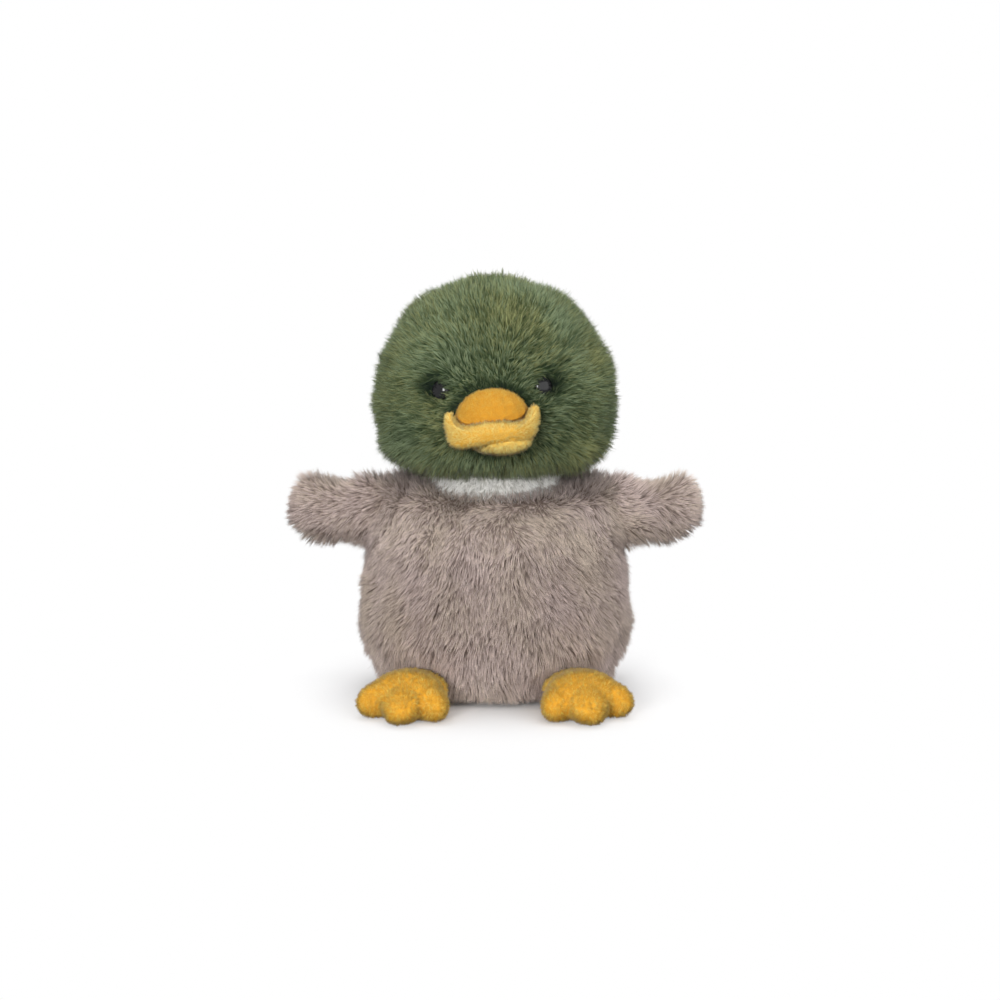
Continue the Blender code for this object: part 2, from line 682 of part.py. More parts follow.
def limb_stuffing(name, stations, tip, segments, wall):
    """The stuffing of a limb: its form closed at the root and drawn in from the cover's wall."""
    root, along = stations[0][0], (stations[0][0] - stations[1][0]).normalized()
    drawn_tip = tip + along * STUFFING_TIP_SLACK
    mesh = lofted_mesh(stations, (root + along * GAP, drawn_tip), segments)
    return name, grow(mesh, -wall - STUFFING_SLACK), "white_fibre"


def make_wing(side_name, side, hinge):
    """A wing's cover, open at its root seam, and its stuffing."""
    pivot = new_pivot("pivot_wing_" + side_name, hinge)
    stations, tip = wing_stations(side, hinge)
    surface = lofted_mesh(stations, (None, tip), LIMB_SEGMENTS)
    cover = part(f"wing_{side_name}_cover", surface, "taupe_pile", pivot)
    thicken_inward(cover, LIMB_WALL)
    part(*limb_stuffing(f"wing_{side_name}_stuffing", stations, tip, LIMB_SEGMENTS, LIMB_WALL), pivot)


def wing_seat(side_name, hinge):
    """The hollow in the body that the wing's root turns in."""
    radius = WING_ROOT_RADIUS + TURNING_GAP
    half_thickness = WING_ROOT_THICKNESS / 2 + TURNING_GAP
    mesh = ellipsoid_mesh((radius, radius, half_thickness), BALL_SEGMENTS, SMALL_RINGS)
    bmesh.ops.rotate(mesh, cent=(0, 0, 0), matrix=Matrix.Rotation(math.pi / 2, 3, "X"), verts=mesh.verts)
    bmesh.ops.translate(mesh, vec=hinge, verts=mesh.verts)
    return cutter("wing_seat_" + side_name, mesh)


def foot_mass(name, side, heel, growth, finish=None, pivot=None):
    """A heel and three toes in one form, grown or shrunk; a cutter where it has no finish."""
    ground = Vector((heel.x, heel.y, 0))
    heel_size = (HEEL_HALF_WIDTH + growth, HEEL_RADIUS + growth, HEEL_RADIUS + growth)
    facets = (TOE_INSIDE_SEGMENTS, TOE_INSIDE_RINGS) if growth < 0 else (TOE_SEGMENTS, TOE_RINGS)
    heel_mesh = ellipsoid_mesh((heel_size[2], heel_size[1], heel_size[0]), *facets)
    bmesh.ops.rotate(heel_mesh, cent=(0, 0, 0), matrix=Matrix.Rotation(math.pi / 2, 3, "Y"), verts=heel_mesh.verts)
    place = Matrix.Translation(heel) @ Matrix.Rotation(side * FOOT_YAW, 4, "Z")
    heel_mesh.transform(place)
    obj = part(name, heel_mesh, finish, pivot) if finish else cutter(name, heel_mesh)

    def join_ahead(pad_name, size, turn, reach, height):
        """Join an ellipsoid that lies ahead of the heel."""
        mesh = ellipsoid_mesh([half + growth for half in size], *facets)
        ahead = Matrix.Translation((0, -reach, height))
        turned = Matrix.Rotation(side * (FOOT_YAW + turn), 4, "Z")
        mesh.transform(Matrix.Translation(ground) @ turned @ ahead)
        combine(obj, cutter(f"{name}_{pad_name}", mesh), "UNION")

    web_size = (WEB_HALF_WIDTH, WEB_HALF_LENGTH, WEB_HALF_HEIGHT)
    join_ahead("web", web_size, 0, WEB_REACH, WEB_CENTRE_Z)
    toes = (
        ("outer", OUTER_TOE_SPLAY, OUTER_TOE_REACH),
        ("middle", 0.0, MIDDLE_TOE_REACH),
        ("inner", INNER_TOE_SPLAY, INNER_TOE_REACH),
    )
    for toe_name, splay, reach in toes:
        half_length = (reach - TOE_ROOT_REACH) / 2
        toe_size = (TOE_HALF_WIDTH, half_length, TOE_HALF_HEIGHT)
        join_ahead(toe_name + "_toe", toe_size, splay, TOE_ROOT_REACH + half_length, TOE_CENTRE_Z)
    return obj


def make_foot(side_name, side, heel, pivot):
    """A foot's cover on its flat sole, and its stuffing."""
    reach = 2 * (MIDDLE_TOE_REACH + HEEL_HALF_WIDTH)

    def slab(name, low_z, high_z):
        size = (reach, reach, high_z - low_z)
        return cutter(name, box_mesh(size, (heel.x, heel.y, (low_z + high_z) / 2)))

    prefix = "foot_" + side_name
    sole = foot_mass(prefix + "_sole", side, heel, 0, "gold_pile", pivot)
    combine(sole, slab(prefix + "_sole_slab", 0, SOLE_THICKNESS), "INTERSECT")

    cover = foot_mass(prefix + "_cover", side, heel, 0, "gold_pile", pivot)
    hollow = foot_mass(prefix + "_hollow", side, heel, -FOOT_WALL)
    under_cover = slab(prefix + "_under_cover", -OVERRUN, SOLE_THICKNESS + GAP)
    cut(cover, hollow, under_cover)

    stuffing = foot_mass(
        prefix + "_stuffing", side, heel, -FOOT_WALL - STUFFING_SLACK, "white_fibre", pivot
    )
    under_stuffing = slab(prefix + "_under_stuffing", -OVERRUN, SOLE_THICKNESS + STUFFING_SLACK)
    cut(stuffing, under_stuffing)


def make_tail(form):
    """The tail's cover and stuffing, from inside the body's back to the raised tip."""
    back_y = -form.front_at(0, TAIL_ROOT_Z).y - 2 * form.lean_at(TAIL_ROOT_Z)
    length = TAIL_ROOT_DEPTH + TAIL_REACH
    straight = TAIL_RISE * (1 - TAIL_CURL_SHARE)
    curl = TAIL_RISE * TAIL_CURL_SHARE

    def spot(share):
        rise = straight * share + curl * share ** 3
        return Vector((0, back_y - TAIL_ROOT_DEPTH + length * share, TAIL_ROOT_Z + rise))

    stations = []
    for length_share, width_share, thickness_share in TAIL_STATION_SHARES:
        across = Vector((TAIL_HALF_WIDTH * width_share, 0, 0))
        stations.append((spot(length_share), across, Vector((0, 0, TAIL_HALF_THICKNESS * thickness_share))))

    seat_mesh = closed_form(form, COVER_SEGMENTS, COVER_LOW_STEPS, COVER_HIGH_STEPS, GAP)
    seat = cutter("body_outside", seat_mesh)
    cover = part("tail_cover", lofted_mesh(stations, (None, spot(1)), TOE_SEGMENTS), "taupe_pile")
    thicken_inward(cover, TAIL_WALL)
    cut(cover, seat)
    stuffing = part(*limb_stuffing("tail_stuffing", stations, spot(1), TOE_SEGMENTS, TAIL_WALL))
    cut(stuffing, seat)


def clear_scene():
    """Remove what the file holds."""
    for obj in list(bpy.data.objects):
        bpy.data.objects.remove(obj, do_unlink=True)


def new_collection(name):
    """A collection in the scene."""
    collection = bpy.data.collections.new(name)
    bpy.context.scene.collection.children.link(collection)
    return collection


clear_scene()
PARTS = new_collection("plush_duck")
CUTTERS = new_collection("cutters")
NECK_CENTRE = Vector((0, 0, BODY_HEIGHT + NECK_PIVOT_RISE))


def main():
    """Make the duck, limb by limb."""
    body = body_form()
    head = head_form()
    neck_seat = ball("neck_seat", NECK_CENTRE, NECK_BALL_RADIUS + TURNING_GAP)
    body_seats = [neck_seat]

    for side_name, side in (("left", 1), ("right", -1)):
        hinge_x = body.radius_at(WING_HINGE_Z) + WING_HINGE_OUT
        hinge = Vector((side * hinge_x, 0, WING_HINGE_Z))
        make_wing(side_name, side, hinge)
        body_seats.append(wing_seat(side_name, hinge))

        front_y = body.front_at(0, FOOT_HINGE_Z).y
        heel = Vector((side * FOOT_SPREAD, front_y + FOOT_SETBACK, FOOT_HINGE_Z))
        pivot = new_pivot("pivot_foot_" + side_name, heel, side * FOOT_YAW)
        make_foot(side_name, side, heel, pivot)
        body_seats.append(foot_mass(f"foot_seat_{side_name}", side, heel, TURNING_GAP))

    make_body(body, body_seats)
    make_tail(body)

    neck_pivot = new_pivot("pivot_neck", NECK_CENTRE)
    make_neck(neck_pivot)
    head_pivot = new_pivot("pivot_head", (0, 0, 0), 0.0, neck_pivot)
    make_head(head, neck_seat, head_pivot)
    make_bill(head, head_pivot)


main()
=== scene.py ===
"""Dresses a sitting plush duck: stuffed skins, pile, bill, eyes, and a plain pale stage."""

import math
from typing import NamedTuple

import bpy
import numpy as np
from bpy.props import FloatProperty, FloatVectorProperty, PointerProperty
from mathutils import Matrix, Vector
from mathutils.bvhtree import BVHTree
from mathutils.kdtree import KDTree


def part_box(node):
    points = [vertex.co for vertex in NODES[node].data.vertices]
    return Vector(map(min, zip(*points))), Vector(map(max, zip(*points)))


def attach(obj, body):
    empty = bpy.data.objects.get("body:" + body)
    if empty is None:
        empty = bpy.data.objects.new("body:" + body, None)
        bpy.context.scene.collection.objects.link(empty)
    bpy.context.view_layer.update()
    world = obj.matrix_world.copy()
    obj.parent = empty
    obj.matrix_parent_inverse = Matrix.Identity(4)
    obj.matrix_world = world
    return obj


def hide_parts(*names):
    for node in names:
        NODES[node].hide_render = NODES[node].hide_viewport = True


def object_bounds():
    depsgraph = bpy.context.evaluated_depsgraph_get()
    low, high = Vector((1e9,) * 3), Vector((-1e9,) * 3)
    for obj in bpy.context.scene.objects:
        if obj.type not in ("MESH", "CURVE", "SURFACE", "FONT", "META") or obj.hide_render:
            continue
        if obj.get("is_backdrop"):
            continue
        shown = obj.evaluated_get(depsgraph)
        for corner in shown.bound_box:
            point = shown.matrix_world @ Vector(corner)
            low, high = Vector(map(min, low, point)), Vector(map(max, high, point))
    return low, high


bl_info = {
    "name": "Plush duck",
    "version": (1, 0, 0),
    "blender": (4, 5, 0),
    "location": "3D View > Sidebar > Plush duck",
    "description": "Sews, stuffs and furs a small sitting plush duck round its frame",
    "category": "Object",
}

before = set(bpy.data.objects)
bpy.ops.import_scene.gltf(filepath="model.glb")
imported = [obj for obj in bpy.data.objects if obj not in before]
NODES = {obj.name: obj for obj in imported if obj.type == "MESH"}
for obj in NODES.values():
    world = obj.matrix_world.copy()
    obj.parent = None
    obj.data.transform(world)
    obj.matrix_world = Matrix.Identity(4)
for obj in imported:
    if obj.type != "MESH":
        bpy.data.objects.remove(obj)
CAD_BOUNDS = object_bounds()

MM = 0.001
PER_MM2 = 1e6
IMAGE_PIXELS = 1000
SENSOR_WIDTH = 36.0                 # in millimetres, as Blender's camera takes it

# The frame's places that the pile follows
FACE_POINT = np.array([0.0, -50 * MM, 119 * MM])    # the head's pile runs away from here
HEAD_MIDDLE = np.array([0.0, 0.0, 123.5 * MM])
HEAD_HALF = np.array([52.5 * MM, 50 * MM, 52.5 * MM])
NECK_Z = 90 * MM
WING_HINGE_X = 53.02 * MM
WING_HINGE_Z = 75 * MM
FOOT_HINGE = np.array([33 * MM, -42.34 * MM])       # across and forward, on the duck's left
FOOT_SPLAY = math.radians(10)

# Pile
PILE_MAP = "OFBake"                 # along a strand in U, its shade in V
STRAND_WIDTH = 0.32 * MM
SUNK = 0.5 * MM                     # how deep a strand starts under the skin
OFF_AXIS = np.array([0.013, 0.007, 0.011])          # keeps an upright strand's sides apart
SHORT_NORMAL_MIX = 0.7              # short pile shades more like the skin under it
SHADE_STEP = 0.004                  # between the edges of one strand, on the map
TONE_LIMITS = (0.2, 0.97)
SHADOW_TONES = (0.03, 0.16)         # tones under these fade to the shadow colour
NEAR_REACH = 10 * MM                # strands this near to a piece are tested against it
MOST_WALLS = 12
PANELS = ("front", "front_left", "back_left", "back", "back_right", "front_right")

# The share of strands that lead a tuft, and how hard they pull, fine and then coarse
HEAD_TUFTS = ((0.06, 0.20), (0.32, 0.76))
LONG_TUFTS = ((0.05, 0.24), (0.26, 0.52))

# Skins
COVER_VOXEL = 5 * MM
LUMP_SIZE = 24 * MM
STUFFING_PRESSURE = 4.0
STUFFING_STEPS = 20
FELT_GRAIN = 900.0
HEAD_LEAN = math.radians(36)
BODY_LEAN = math.radians(50)
MOST_LEAN = 1.36                    # on the chest, nearly flat

# Forms, as middle and half sizes
ROLL_BODY = ((0.9 * MM, -55.4 * MM, 109.0 * MM), (12.3 * MM, 8.8 * MM, 4.2 * MM))
SHOULDER = ((38 * MM, 1 * MM, 78 * MM), (19 * MM, 19 * MM, 15 * MM))
INSTEP_Z, INSTEP_HALF = 8.4 * MM, (15.5 * MM, 17.5 * MM, 10.2 * MM)
TOE_Z, TOE_HALF = 8.0 * MM, (8.6 * MM, 14 * MM, 8.6 * MM)

# Bill, as the photograph shows it
CROWN_HALF_WIDTH = 15 * MM
CROWN_FRONT_Y = -62.2 * MM
CROWN_FLARE_Z = 121.8 * MM          # below here the crown keeps its width
CROWN_FLARE_DROP = 9.6 * MM
LIP_HALF_WIDTH = 16.3 * MM
LIP_MIDDLE_Z = 113.5 * MM
ROLL_Z = 112.2 * MM
BILL_DEPTH = 0.84                   # pile starts past this share of the head's form, squared

# Eyes
EYE_HALF = (4 * MM, 4 * MM, 1.9 * MM)
EYE_LIFT = 0.4 * MM
EYE_DEPTH = 12 * MM                 # how far behind an eye its line still counts
EYE_SHIFTS = {                      # the photograph shows the right one further out
    "eye_left": (0.8 * MM, 0.2 * MM, 0),
    "eye_right": (-3.1 * MM, 0.8 * MM, 0),
}
WASHER_SINK = 5 * MM

# Stage
BLACK = (0, 0, 0, 1)
WHITE = (1, 1, 1, 1)
SHADOW_FADE = (0.05, 0.11)          # from the middle of the floor, in metres
LAMPS = (                           # name, place, size and power
    ("key_lamp", (-0.36, -1.18, 0.34), 0.35, 9.2),
    ("fill_lamp", (0.70, -1.00, 0.10), 1.8, 13.0),
    ("top_lamp", (0.0, 0.1, 1.2), 0.9, 4.6),
    ("back_lamp", (0.2, 1.1, 0.7), 0.8, 6.0),
)

PIECES = {}                         # finished pieces that later ones are fitted to, by name
EYE_LINES = {}                      # middle and axis of each eye

def unit(vectors):
    """Each row brought to length one."""
    lengths = np.linalg.norm(vectors, axis=-1, keepdims=True)
    return vectors / np.maximum(lengths, 1e-12)


def smooth_step(values, low, high):
    """From 0 at low to 1 at high, with soft ends."""
    share = np.clip((values - low) / (high - low), 0, 1)
    return share * share * (3 - 2 * share)


def bell(values, middle, width):
    """1 at the middle, and falling to nothing on both sides of it."""
    return np.exp(-(((values - middle) / width) ** 2))


class Waves:
    """Smooth, repeatable noise in space, of about the given size, from sines."""

    COUNT = 18

    def __init__(self, size, seed):
        rng = np.random.default_rng(seed)
        spread = rng.uniform(0.6, 1.5, (self.COUNT, 1))
        self.steps = unit(rng.normal(size=(self.COUNT, 3))) * 2 * math.pi / size * spread
        self.starts = rng.uniform(0, 2 * math.pi, self.COUNT)

    def at(self, points):
        """The noise at each point, about 1 either way."""
        return np.sin(points @ self.steps.T + self.starts).sum(1) * math.sqrt(2 / self.COUNT)


# Settings, which the panel shows


def length_prop(name, description, default_mm):
    return FloatProperty(
        name=name, description=description, default=default_mm * MM, min=0, unit="LENGTH"
    )


def number_prop(name, description, default):
    return FloatProperty(name=name, description=description, default=default, min=0)


def colour_prop(name, description, default):
    return FloatVectorProperty(
        name=name, description=description, default=default, size=3, min=0, max=1, subtype="COLOR"
    )


class PlushHeadSettings(bpy.types.PropertyGroup):
    """Pile and colours of the head."""

    pile_length: length_prop("Pile length", "Length of a strand on the head", 5.5)
    pile_density: number_prop(
        "Strands per square millimetre", "How thickly the head's pile stands", 6.1
    )
    # root: painted shade deep in the pile, and also the backing's colour
    root: colour_prop("Root", "Colour deep in the pile", (0.012, 0.024, 0.010))
    dark_tip: colour_prop("Dark tip", "Tips of the darker strands", (0.036, 0.060, 0.022))
    light_tip: colour_prop("Light tip", "Tips of the lighter strands", (0.305, 0.385, 0.215))
    warm_tip: colour_prop("Warm tip", "Tips of the yellowish strands", (0.345, 0.360, 0.150))
    # shadow: painted shade in the pile round the eyes and the bill
    shadow: colour_prop("Painted eye shade", "Pile close round the eyes", (0.010, 0.018, 0.014))


class PlushBodySettings(bpy.types.PropertyGroup):
    """Pile and colours of the body, wings and tail."""

    pile_length: length_prop("Pile length", "Length of a strand on the body", 6.0)
    pile_density: number_prop(
        "Strands per square millimetre", "How thickly the body's pile stands", 5.3
    )
    # root: painted shade deep in the pile, and also the backing's colour
    root: colour_prop("Root", "Colour deep in the pile", (0.115, 0.084, 0.070))
    dark_tip: colour_prop("Dark tip", "Tips of the darker strands", (0.380, 0.295, 0.255))
    light_tip: colour_prop("Light tip", "Tips of the lighter strands", (0.840, 0.690, 0.640))
    warm_tip: colour_prop("Warm tip", "Tips of the sandy strands", (0.820, 0.690, 0.570))


class PlushCollarSettings(bpy.types.PropertyGroup):
    """Pile and colours of the neck band."""

    pile_length: length_prop("Pile length", "Length of a strand on the neck band", 4.6)
    # root: painted shade deep in the pile, and also the backing's colour
    root: colour_prop("Root", "Colour deep in the pile", (0.38, 0.37, 0.33))
    dark_tip: colour_prop("Dark tip", "Tips of the darker strands", (0.72, 0.71, 0.67))
    light_tip: colour_prop("Light tip", "Tips of the lighter strands", (0.98, 0.97, 0.93))


class PlushBillSettings(bpy.types.PropertyGroup):
    """Pile and colours of the bill."""

    crown_pile: length_prop("Crown pile", "Length of the sheared pile on the crown", 0.9)
    lip_pile: length_prop("Lip pile", "Length of the pile on the lip and the lower bill", 1.5)
    # crown_root and lip_root: painted shade deep in the pile
    crown_root: colour_prop("Crown root", "Colour deep in the crown's pile", (0.45, 0.18, 0.013))
    crown_tip: colour_prop("Crown tip", "Lighter tips on the crown", (0.71, 0.48, 0.09))
    lip_root: colour_prop("Lip root", "Colour deep in the lip's pile", (0.71, 0.41, 0.062))
    lip_tip: colour_prop("Lip tip", "Lighter tips on the lip", (0.91, 0.80, 0.30))


class PlushFootSettings(bpy.types.PropertyGroup):
    """Pile and colours of the feet."""

    pile_length: length_prop("Pile length", "Length of a strand on the feet", 1.5)
    # root: painted shade deep in the pile, and also the backing's colour
    root: colour_prop("Root", "Colour deep in the feet's pile", (0.66, 0.30, 0.028))
    dark_tip: colour_prop("Dark tip", "Tips of the darker strands", (0.70, 0.38, 0.036))
    light_tip: colour_prop("Light tip", "Tips of the lighter strands", (0.90, 0.68, 0.15))


class PlushEyeSettings(bpy.types.PropertyGroup):
    """The glossy eyes."""

    colour: colour_prop("Colour", "Colour of the eyes' plastic", (0.004, 0.004, 0.005))
    roughness: number_prop("Roughness", "Roughness of the eyes' plastic", 0.03)


class PlushStageSettings(bpy.types.PropertyGroup):
    """Camera, lamps and floor."""

    elevation: FloatProperty(
        name="Elevation", description="Height of the camera's view",
        default=math.radians(9), unit="ROTATION",
    )
    distance: length_prop("Distance", "From the camera to what it looks at", 950)
    aim_x: length_prop("Aim across", "Where the camera looks, across", 2)
    aim_z: length_prop("Aim height", "Where the camera looks, up", 79)
    focal_pixels: number_prop("Focal length", "Focal length in pixels of the photograph", 2262)


SETTINGS = {
    "plush_head": PlushHeadSettings,
    "plush_body": PlushBodySettings,
    "plush_collar": PlushCollarSettings,
    "plush_bill": PlushBillSettings,
    "plush_foot": PlushFootSettings,
    "plush_eye": PlushEyeSettings,
    "plush_stage": PlushStageSettings,
}


# Materials


def feed(tree, socket, value):
    """Links the socket to another one, or sets it to a plain value."""
    if isinstance(value, bpy.types.NodeSocket):
        tree.links.new(value, socket)
    else:
        socket.default_value = value


def mix_colour(tree, factor, first, second):
    """A colour mix node; each argument is a socket or a plain value."""
    node = tree.nodes.new("ShaderNodeMix")
    node.data_type = "RGBA"
    for index, value in ((0, factor), (6, first), (7, second)):
        feed(tree, node.inputs[index], value)
    return node.outputs[2]


def math_node(tree, operation, first, second=0.0):
    """One sum on two values."""
    node = tree.nodes.new("ShaderNodeMath")
    node.operation = operation
    feed(tree, node.inputs[0], first)
    feed(tree, node.inputs[1], second)
    return node.outputs[0]


def ranged(tree, value, low, high):
    """Value brought to 0 to 1 between low and high, with soft ends."""
    node = tree.nodes.new("ShaderNodeMapRange")
    node.interpolation_type = "SMOOTHSTEP"
    for name, source in (("Value", value), ("From Min", low), ("From Max", high)):
        feed(tree, node.inputs[name], source)
    return node.outputs["Result"]


def seen_directly(tree):
    """1 for camera, glossy and transmission rays, which see the white background."""
    path = tree.nodes.new("ShaderNodeLightPath")
    seen = math_node(tree, "MAXIMUM", path.outputs["Is Camera Ray"], path.outputs["Is Glossy Ray"])
    return math_node(tree, "MAXIMUM", seen, path.outputs["Is Transmission Ray"])


def new_group(name, inputs, outputs):
    """A shader node group with the named sockets, and its input and output nodes."""
    group = bpy.data.node_groups.new(name, "ShaderNodeTree")
    for direction, sockets in (("INPUT", inputs), ("OUTPUT", outputs)):
        for socket_name, kind in sockets:
            group.interface.new_socket(
                socket_name, in_out=direction, socket_type="NodeSocket" + kind
            )
    return group, group.nodes.new("NodeGroupInput"), group.nodes.new("NodeGroupOutput")


def pile_colour_group():
    """Colour of a strand from its root, darker there as painted shade deep in the pile, to its
    tip, by the shade it was given.
    """
    if "pile_colour" in bpy.data.node_groups:
        return bpy.data.node_groups["pile_colour"]
    colours = ("Root", "Dark Tip", "Light Tip", "Warm Tip", "Shadow")
    group, given, out = new_group(
        "pile_colour", [(name, "Color") for name in colours] + [("Root Ends", "Float")],
        [("Color", "Color")],
    )
    place = group.nodes.new("ShaderNodeUVMap")
    place.uv_map = PILE_MAP
    apart = group.nodes.new("ShaderNodeSeparateXYZ")
    group.links.new(place.outputs["UV"], apart.inputs[0])
    along, shade_value = apart.outputs[0], apart.outputs[1]
    tone = math_node(group, "FRACT", math_node(group, "MULTIPLY", shade_value, 2.0))
    family = math_node(group, "GREATER_THAN", shade_value, 0.5)
    cool = mix_colour(group, tone, given.outputs["Dark Tip"], given.outputs["Light Tip"])
    warm = mix_colour(group, tone, given.outputs["Dark Tip"], given.outputs["Warm Tip"])
    tip = mix_colour(group, family, cool, warm)
    # darker towards the root: painted shade deep in the pile
    up = ranged(group, along, 0.0, given.outputs["Root Ends"])
    strand = mix_colour(group, up, given.outputs["Root"], tip)
    clear = ranged(group, tone, *SHADOW_TONES)
    group.links.new(mix_colour(group, clear, given.outputs["Shadow"], strand), out.inputs["Color"])
    return group


def felt_group():
    """Colour and bump of the backing cloth under the pile."""
    if "felt_backing" in bpy.data.node_groups:
        return bpy.data.node_groups["felt_backing"]
    group, given, out = new_group(
        "felt_backing", [("Color", "Color"), ("Other Color", "Color"), ("Grain", "Float")],
        [("Color", "Color"), ("Height", "Float")],
    )
    place = group.nodes.new("ShaderNodeTexCoord")
    noise = group.nodes.new("ShaderNodeTexNoise")
    noise.inputs["Detail"].default_value = 4.0
    group.links.new(place.outputs["Object"], noise.inputs["Vector"])
    group.links.new(given.outputs["Grain"], noise.inputs["Scale"])
    mixed = mix_colour(
        group, noise.outputs["Fac"], given.outputs["Color"], given.outputs["Other Color"]
    )
    group.links.new(mixed, out.inputs["Color"])
    group.links.new(noise.outputs["Fac"], out.inputs["Height"])
    return group


def set_sockets(node, values):
    """Sets the node's sockets to plain values; an underscore stands for a space in a name."""
    for socket, value in values.items():
        node.inputs[socket.replace("_", " ")].default_value = value


def new_material(name, roughness, **plain):
    """A material with a Principled shader; plain sets the shader's own sockets by name."""
    material = bpy.data.materials.new(name)
    material.use_nodes = True
    shader = material.node_tree.nodes["Principled BSDF"]
    set_sockets(shader, {"Roughness": roughness, **plain})
    return material, shader


def placed_group(material, group, **values):
    """The group in the material's tree, with its sockets set by name."""
    node = material.node_tree.nodes.new("ShaderNodeGroup")
    node.node_tree = group
    set_sockets(node, values)
    return node


def rgba(colour):
    """The colour with full alpha."""
    return (*colour[:3], 1.0)


def pile_material(name, root, dark, light, warm, shadow, root_ends, sheen=0.12):
    """Pile that is dark at the root, as painted shade deep in the pile, and lighter at the tip."""
    material, shader = new_material(
        name, 0.85, Sheen_Weight=sheen, Sheen_Roughness=0.4, Specular_IOR_Level=0.15
    )
    node = placed_group(
        material, pile_colour_group(), Root=rgba(root), Dark_Tip=rgba(dark),
        Light_Tip=rgba(light), Warm_Tip=rgba(warm), Shadow=rgba(shadow), Root_Ends=root_ends,
    )
    material.node_tree.links.new(node.outputs["Color"], shader.inputs["Base Color"])
    return material


def felt_material(name, colour, other):
    """Backing cloth, seen only between the strands."""
    material, shader = new_material(name, 0.95, Specular_IOR_Level=0.1)
    node = placed_group(
        material, felt_group(), Color=rgba(colour), Other_Color=rgba(other), Grain=FELT_GRAIN
    )
    tree = material.node_tree
    tree.links.new(node.outputs["Color"], shader.inputs["Base Color"])
    relief = tree.nodes.new("ShaderNodeBump")
    set_sockets(relief, {"Strength": 0.15, "Distance": 0.2 * MM})
    tree.links.new(node.outputs["Height"], relief.inputs["Height"])
    tree.links.new(relief.outputs["Normal"], shader.inputs["Normal"])
    return material


def body_cloths(sizes):
    """The taupe pile and its backing, which the body, wings and tail share."""
    if "body_pile" not in bpy.data.materials:
        pile_material(
            "body_pile", sizes.root, sizes.dark_tip, sizes.light_tip, sizes.warm_tip,
            sizes.root, 0.9,
        )
        felt_material("body_backing", sizes.root, sizes.dark_tip)
    return bpy.data.materials["body_pile"], bpy.data.materials["body_backing"]


# Skins


def select_only(*objs):
    """Deselects everything and then selects these, the first as the active one."""
    bpy.ops.object.select_all(action="DESELECT")
    for obj in objs:
        obj.select_set(True)
    bpy.context.view_layer.objects.active = objs[0]


def finish_modifier(obj, kind, **values):
    """Adds one modifier to the piece and applies it."""
    select_only(obj)
    modifier = obj.modifiers.new(kind.lower(), kind)
    for name, value in values.items():
        setattr(modifier, name, value)
    bpy.ops.object.modifier_apply(modifier=modifier.name)


def edit_whole(operator, **values):
    """Runs one edit-mode operator on all of the active piece."""
    bpy.ops.object.mode_set(mode="EDIT")
    bpy.ops.mesh.select_all(action="SELECT")
    operator(**values)
    bpy.ops.object.mode_set(mode="OBJECT")


def copy_of(name, node_names):
    """The named CAD nodes as one new piece, their loose triangles merged."""
    copies = []
    for node_name in node_names:
        copy = bpy.data.objects.new(name, NODES[node_name].data.copy())
        copy.data.materials.clear()
        bpy.context.scene.collection.objects.link(copy)
        copies.append(copy)
    select_only(*copies)
    if len(copies) > 1:
        bpy.ops.object.join()
    piece = bpy.context.view_layer.objects.active
    piece.name = piece.data.name = name
    edit_whole(bpy.ops.mesh.remove_doubles, threshold=0.01 * MM)
    return piece


def corners_of(mesh, attribute="co"):
    """Places, or with "normal" the normals, of the mesh's vertices."""
    values = np.empty(len(mesh.vertices) * 3, np.float32)
    mesh.vertices.foreach_get(attribute, values)
    return values.reshape(-1, 3).astype(float)


def move_corners(piece, places):
    """Puts the piece's vertices at these places."""
    piece.data.vertices.foreach_set("co", places.astype(np.float32).ravel())
    piece.data.update()


def stuff(skin, cap):
    """Swells the form as stuffing does, by a short cloth run that moves no point past cap."""
    before = corners_of(skin.data)
    select_only(skin)
    cloth = skin.modifiers.new("stuffing", "CLOTH")
    cloth.settings.use_pressure = True
    cloth.settings.uniform_pressure_force = STUFFING_PRESSURE
    cloth.settings.effector_weights.gravity = 0.0
    for step in range(STUFFING_STEPS):
        bpy.context.scene.frame_set(step + 1)
    bpy.ops.object.modifier_apply(modifier=cloth.name)
    bpy.context.scene.frame_set(1)
    move = corners_of(skin.data) - before
    far = np.linalg.norm(move, axis=1, keepdims=True)
    move_corners(skin, before + move * np.minimum(1, cap / np.maximum(far, 1e-9)))


def add_ball(name, centre, half_sizes):
    """A ball, stretched to its half sizes."""
    bpy.ops.object.select_all(action="DESELECT")
    bpy.ops.mesh.primitive_uv_sphere_add(segments=32, ring_count=16, radius=1.0)
    piece = bpy.context.view_layer.objects.active
    piece.name = piece.data.name = name
    move_corners(piece, corners_of(piece.data) * np.array(half_sizes) + np.array(centre))
    return piece


def make_skin(
    name, node_names, voxel, rounding, inset,
    hull=False, fillers=(), swell=0.0, lumps=0.0, shape=None,
):
    """A closed, smooth, stuffed form over the nodes, drawn in by the pile's height."""
    skin = copy_of(name, node_names)
    if fillers:
        select_only(skin, *(add_ball("filler", *filler) for filler in fillers))
        bpy.ops.object.join()
    if hull:
        edit_whole(bpy.ops.mesh.convex_hull)
    finish_modifier(skin, "REMESH", mode="VOXEL", voxel_size=voxel)
    finish_modifier(skin, "SMOOTH", factor=0.5, iterations=rounding)
    swell = swell
    finish_modifier(skin, "DISPLACE", direction="NORMAL", mid_level=0.0, strength=-inset - swell)
    if swell:
        stuff(skin, swell)
        finish_modifier(skin, "SMOOTH", factor=0.5, iterations=2)
    finish_modifier(skin, "SUBSURF", levels=1, render_levels=1)
    places = corners_of(skin.data)
    if lumps:
        waves = Waves(LUMP_SIZE, len(name)).at(places) * lumps
        places += corners_of(skin.data, "normal") * waves[:, None]
    if shape:
        places = shape(places)
    move_corners(skin, places)
    select_only(skin)
    bpy.ops.object.shade_smooth()
    return skin


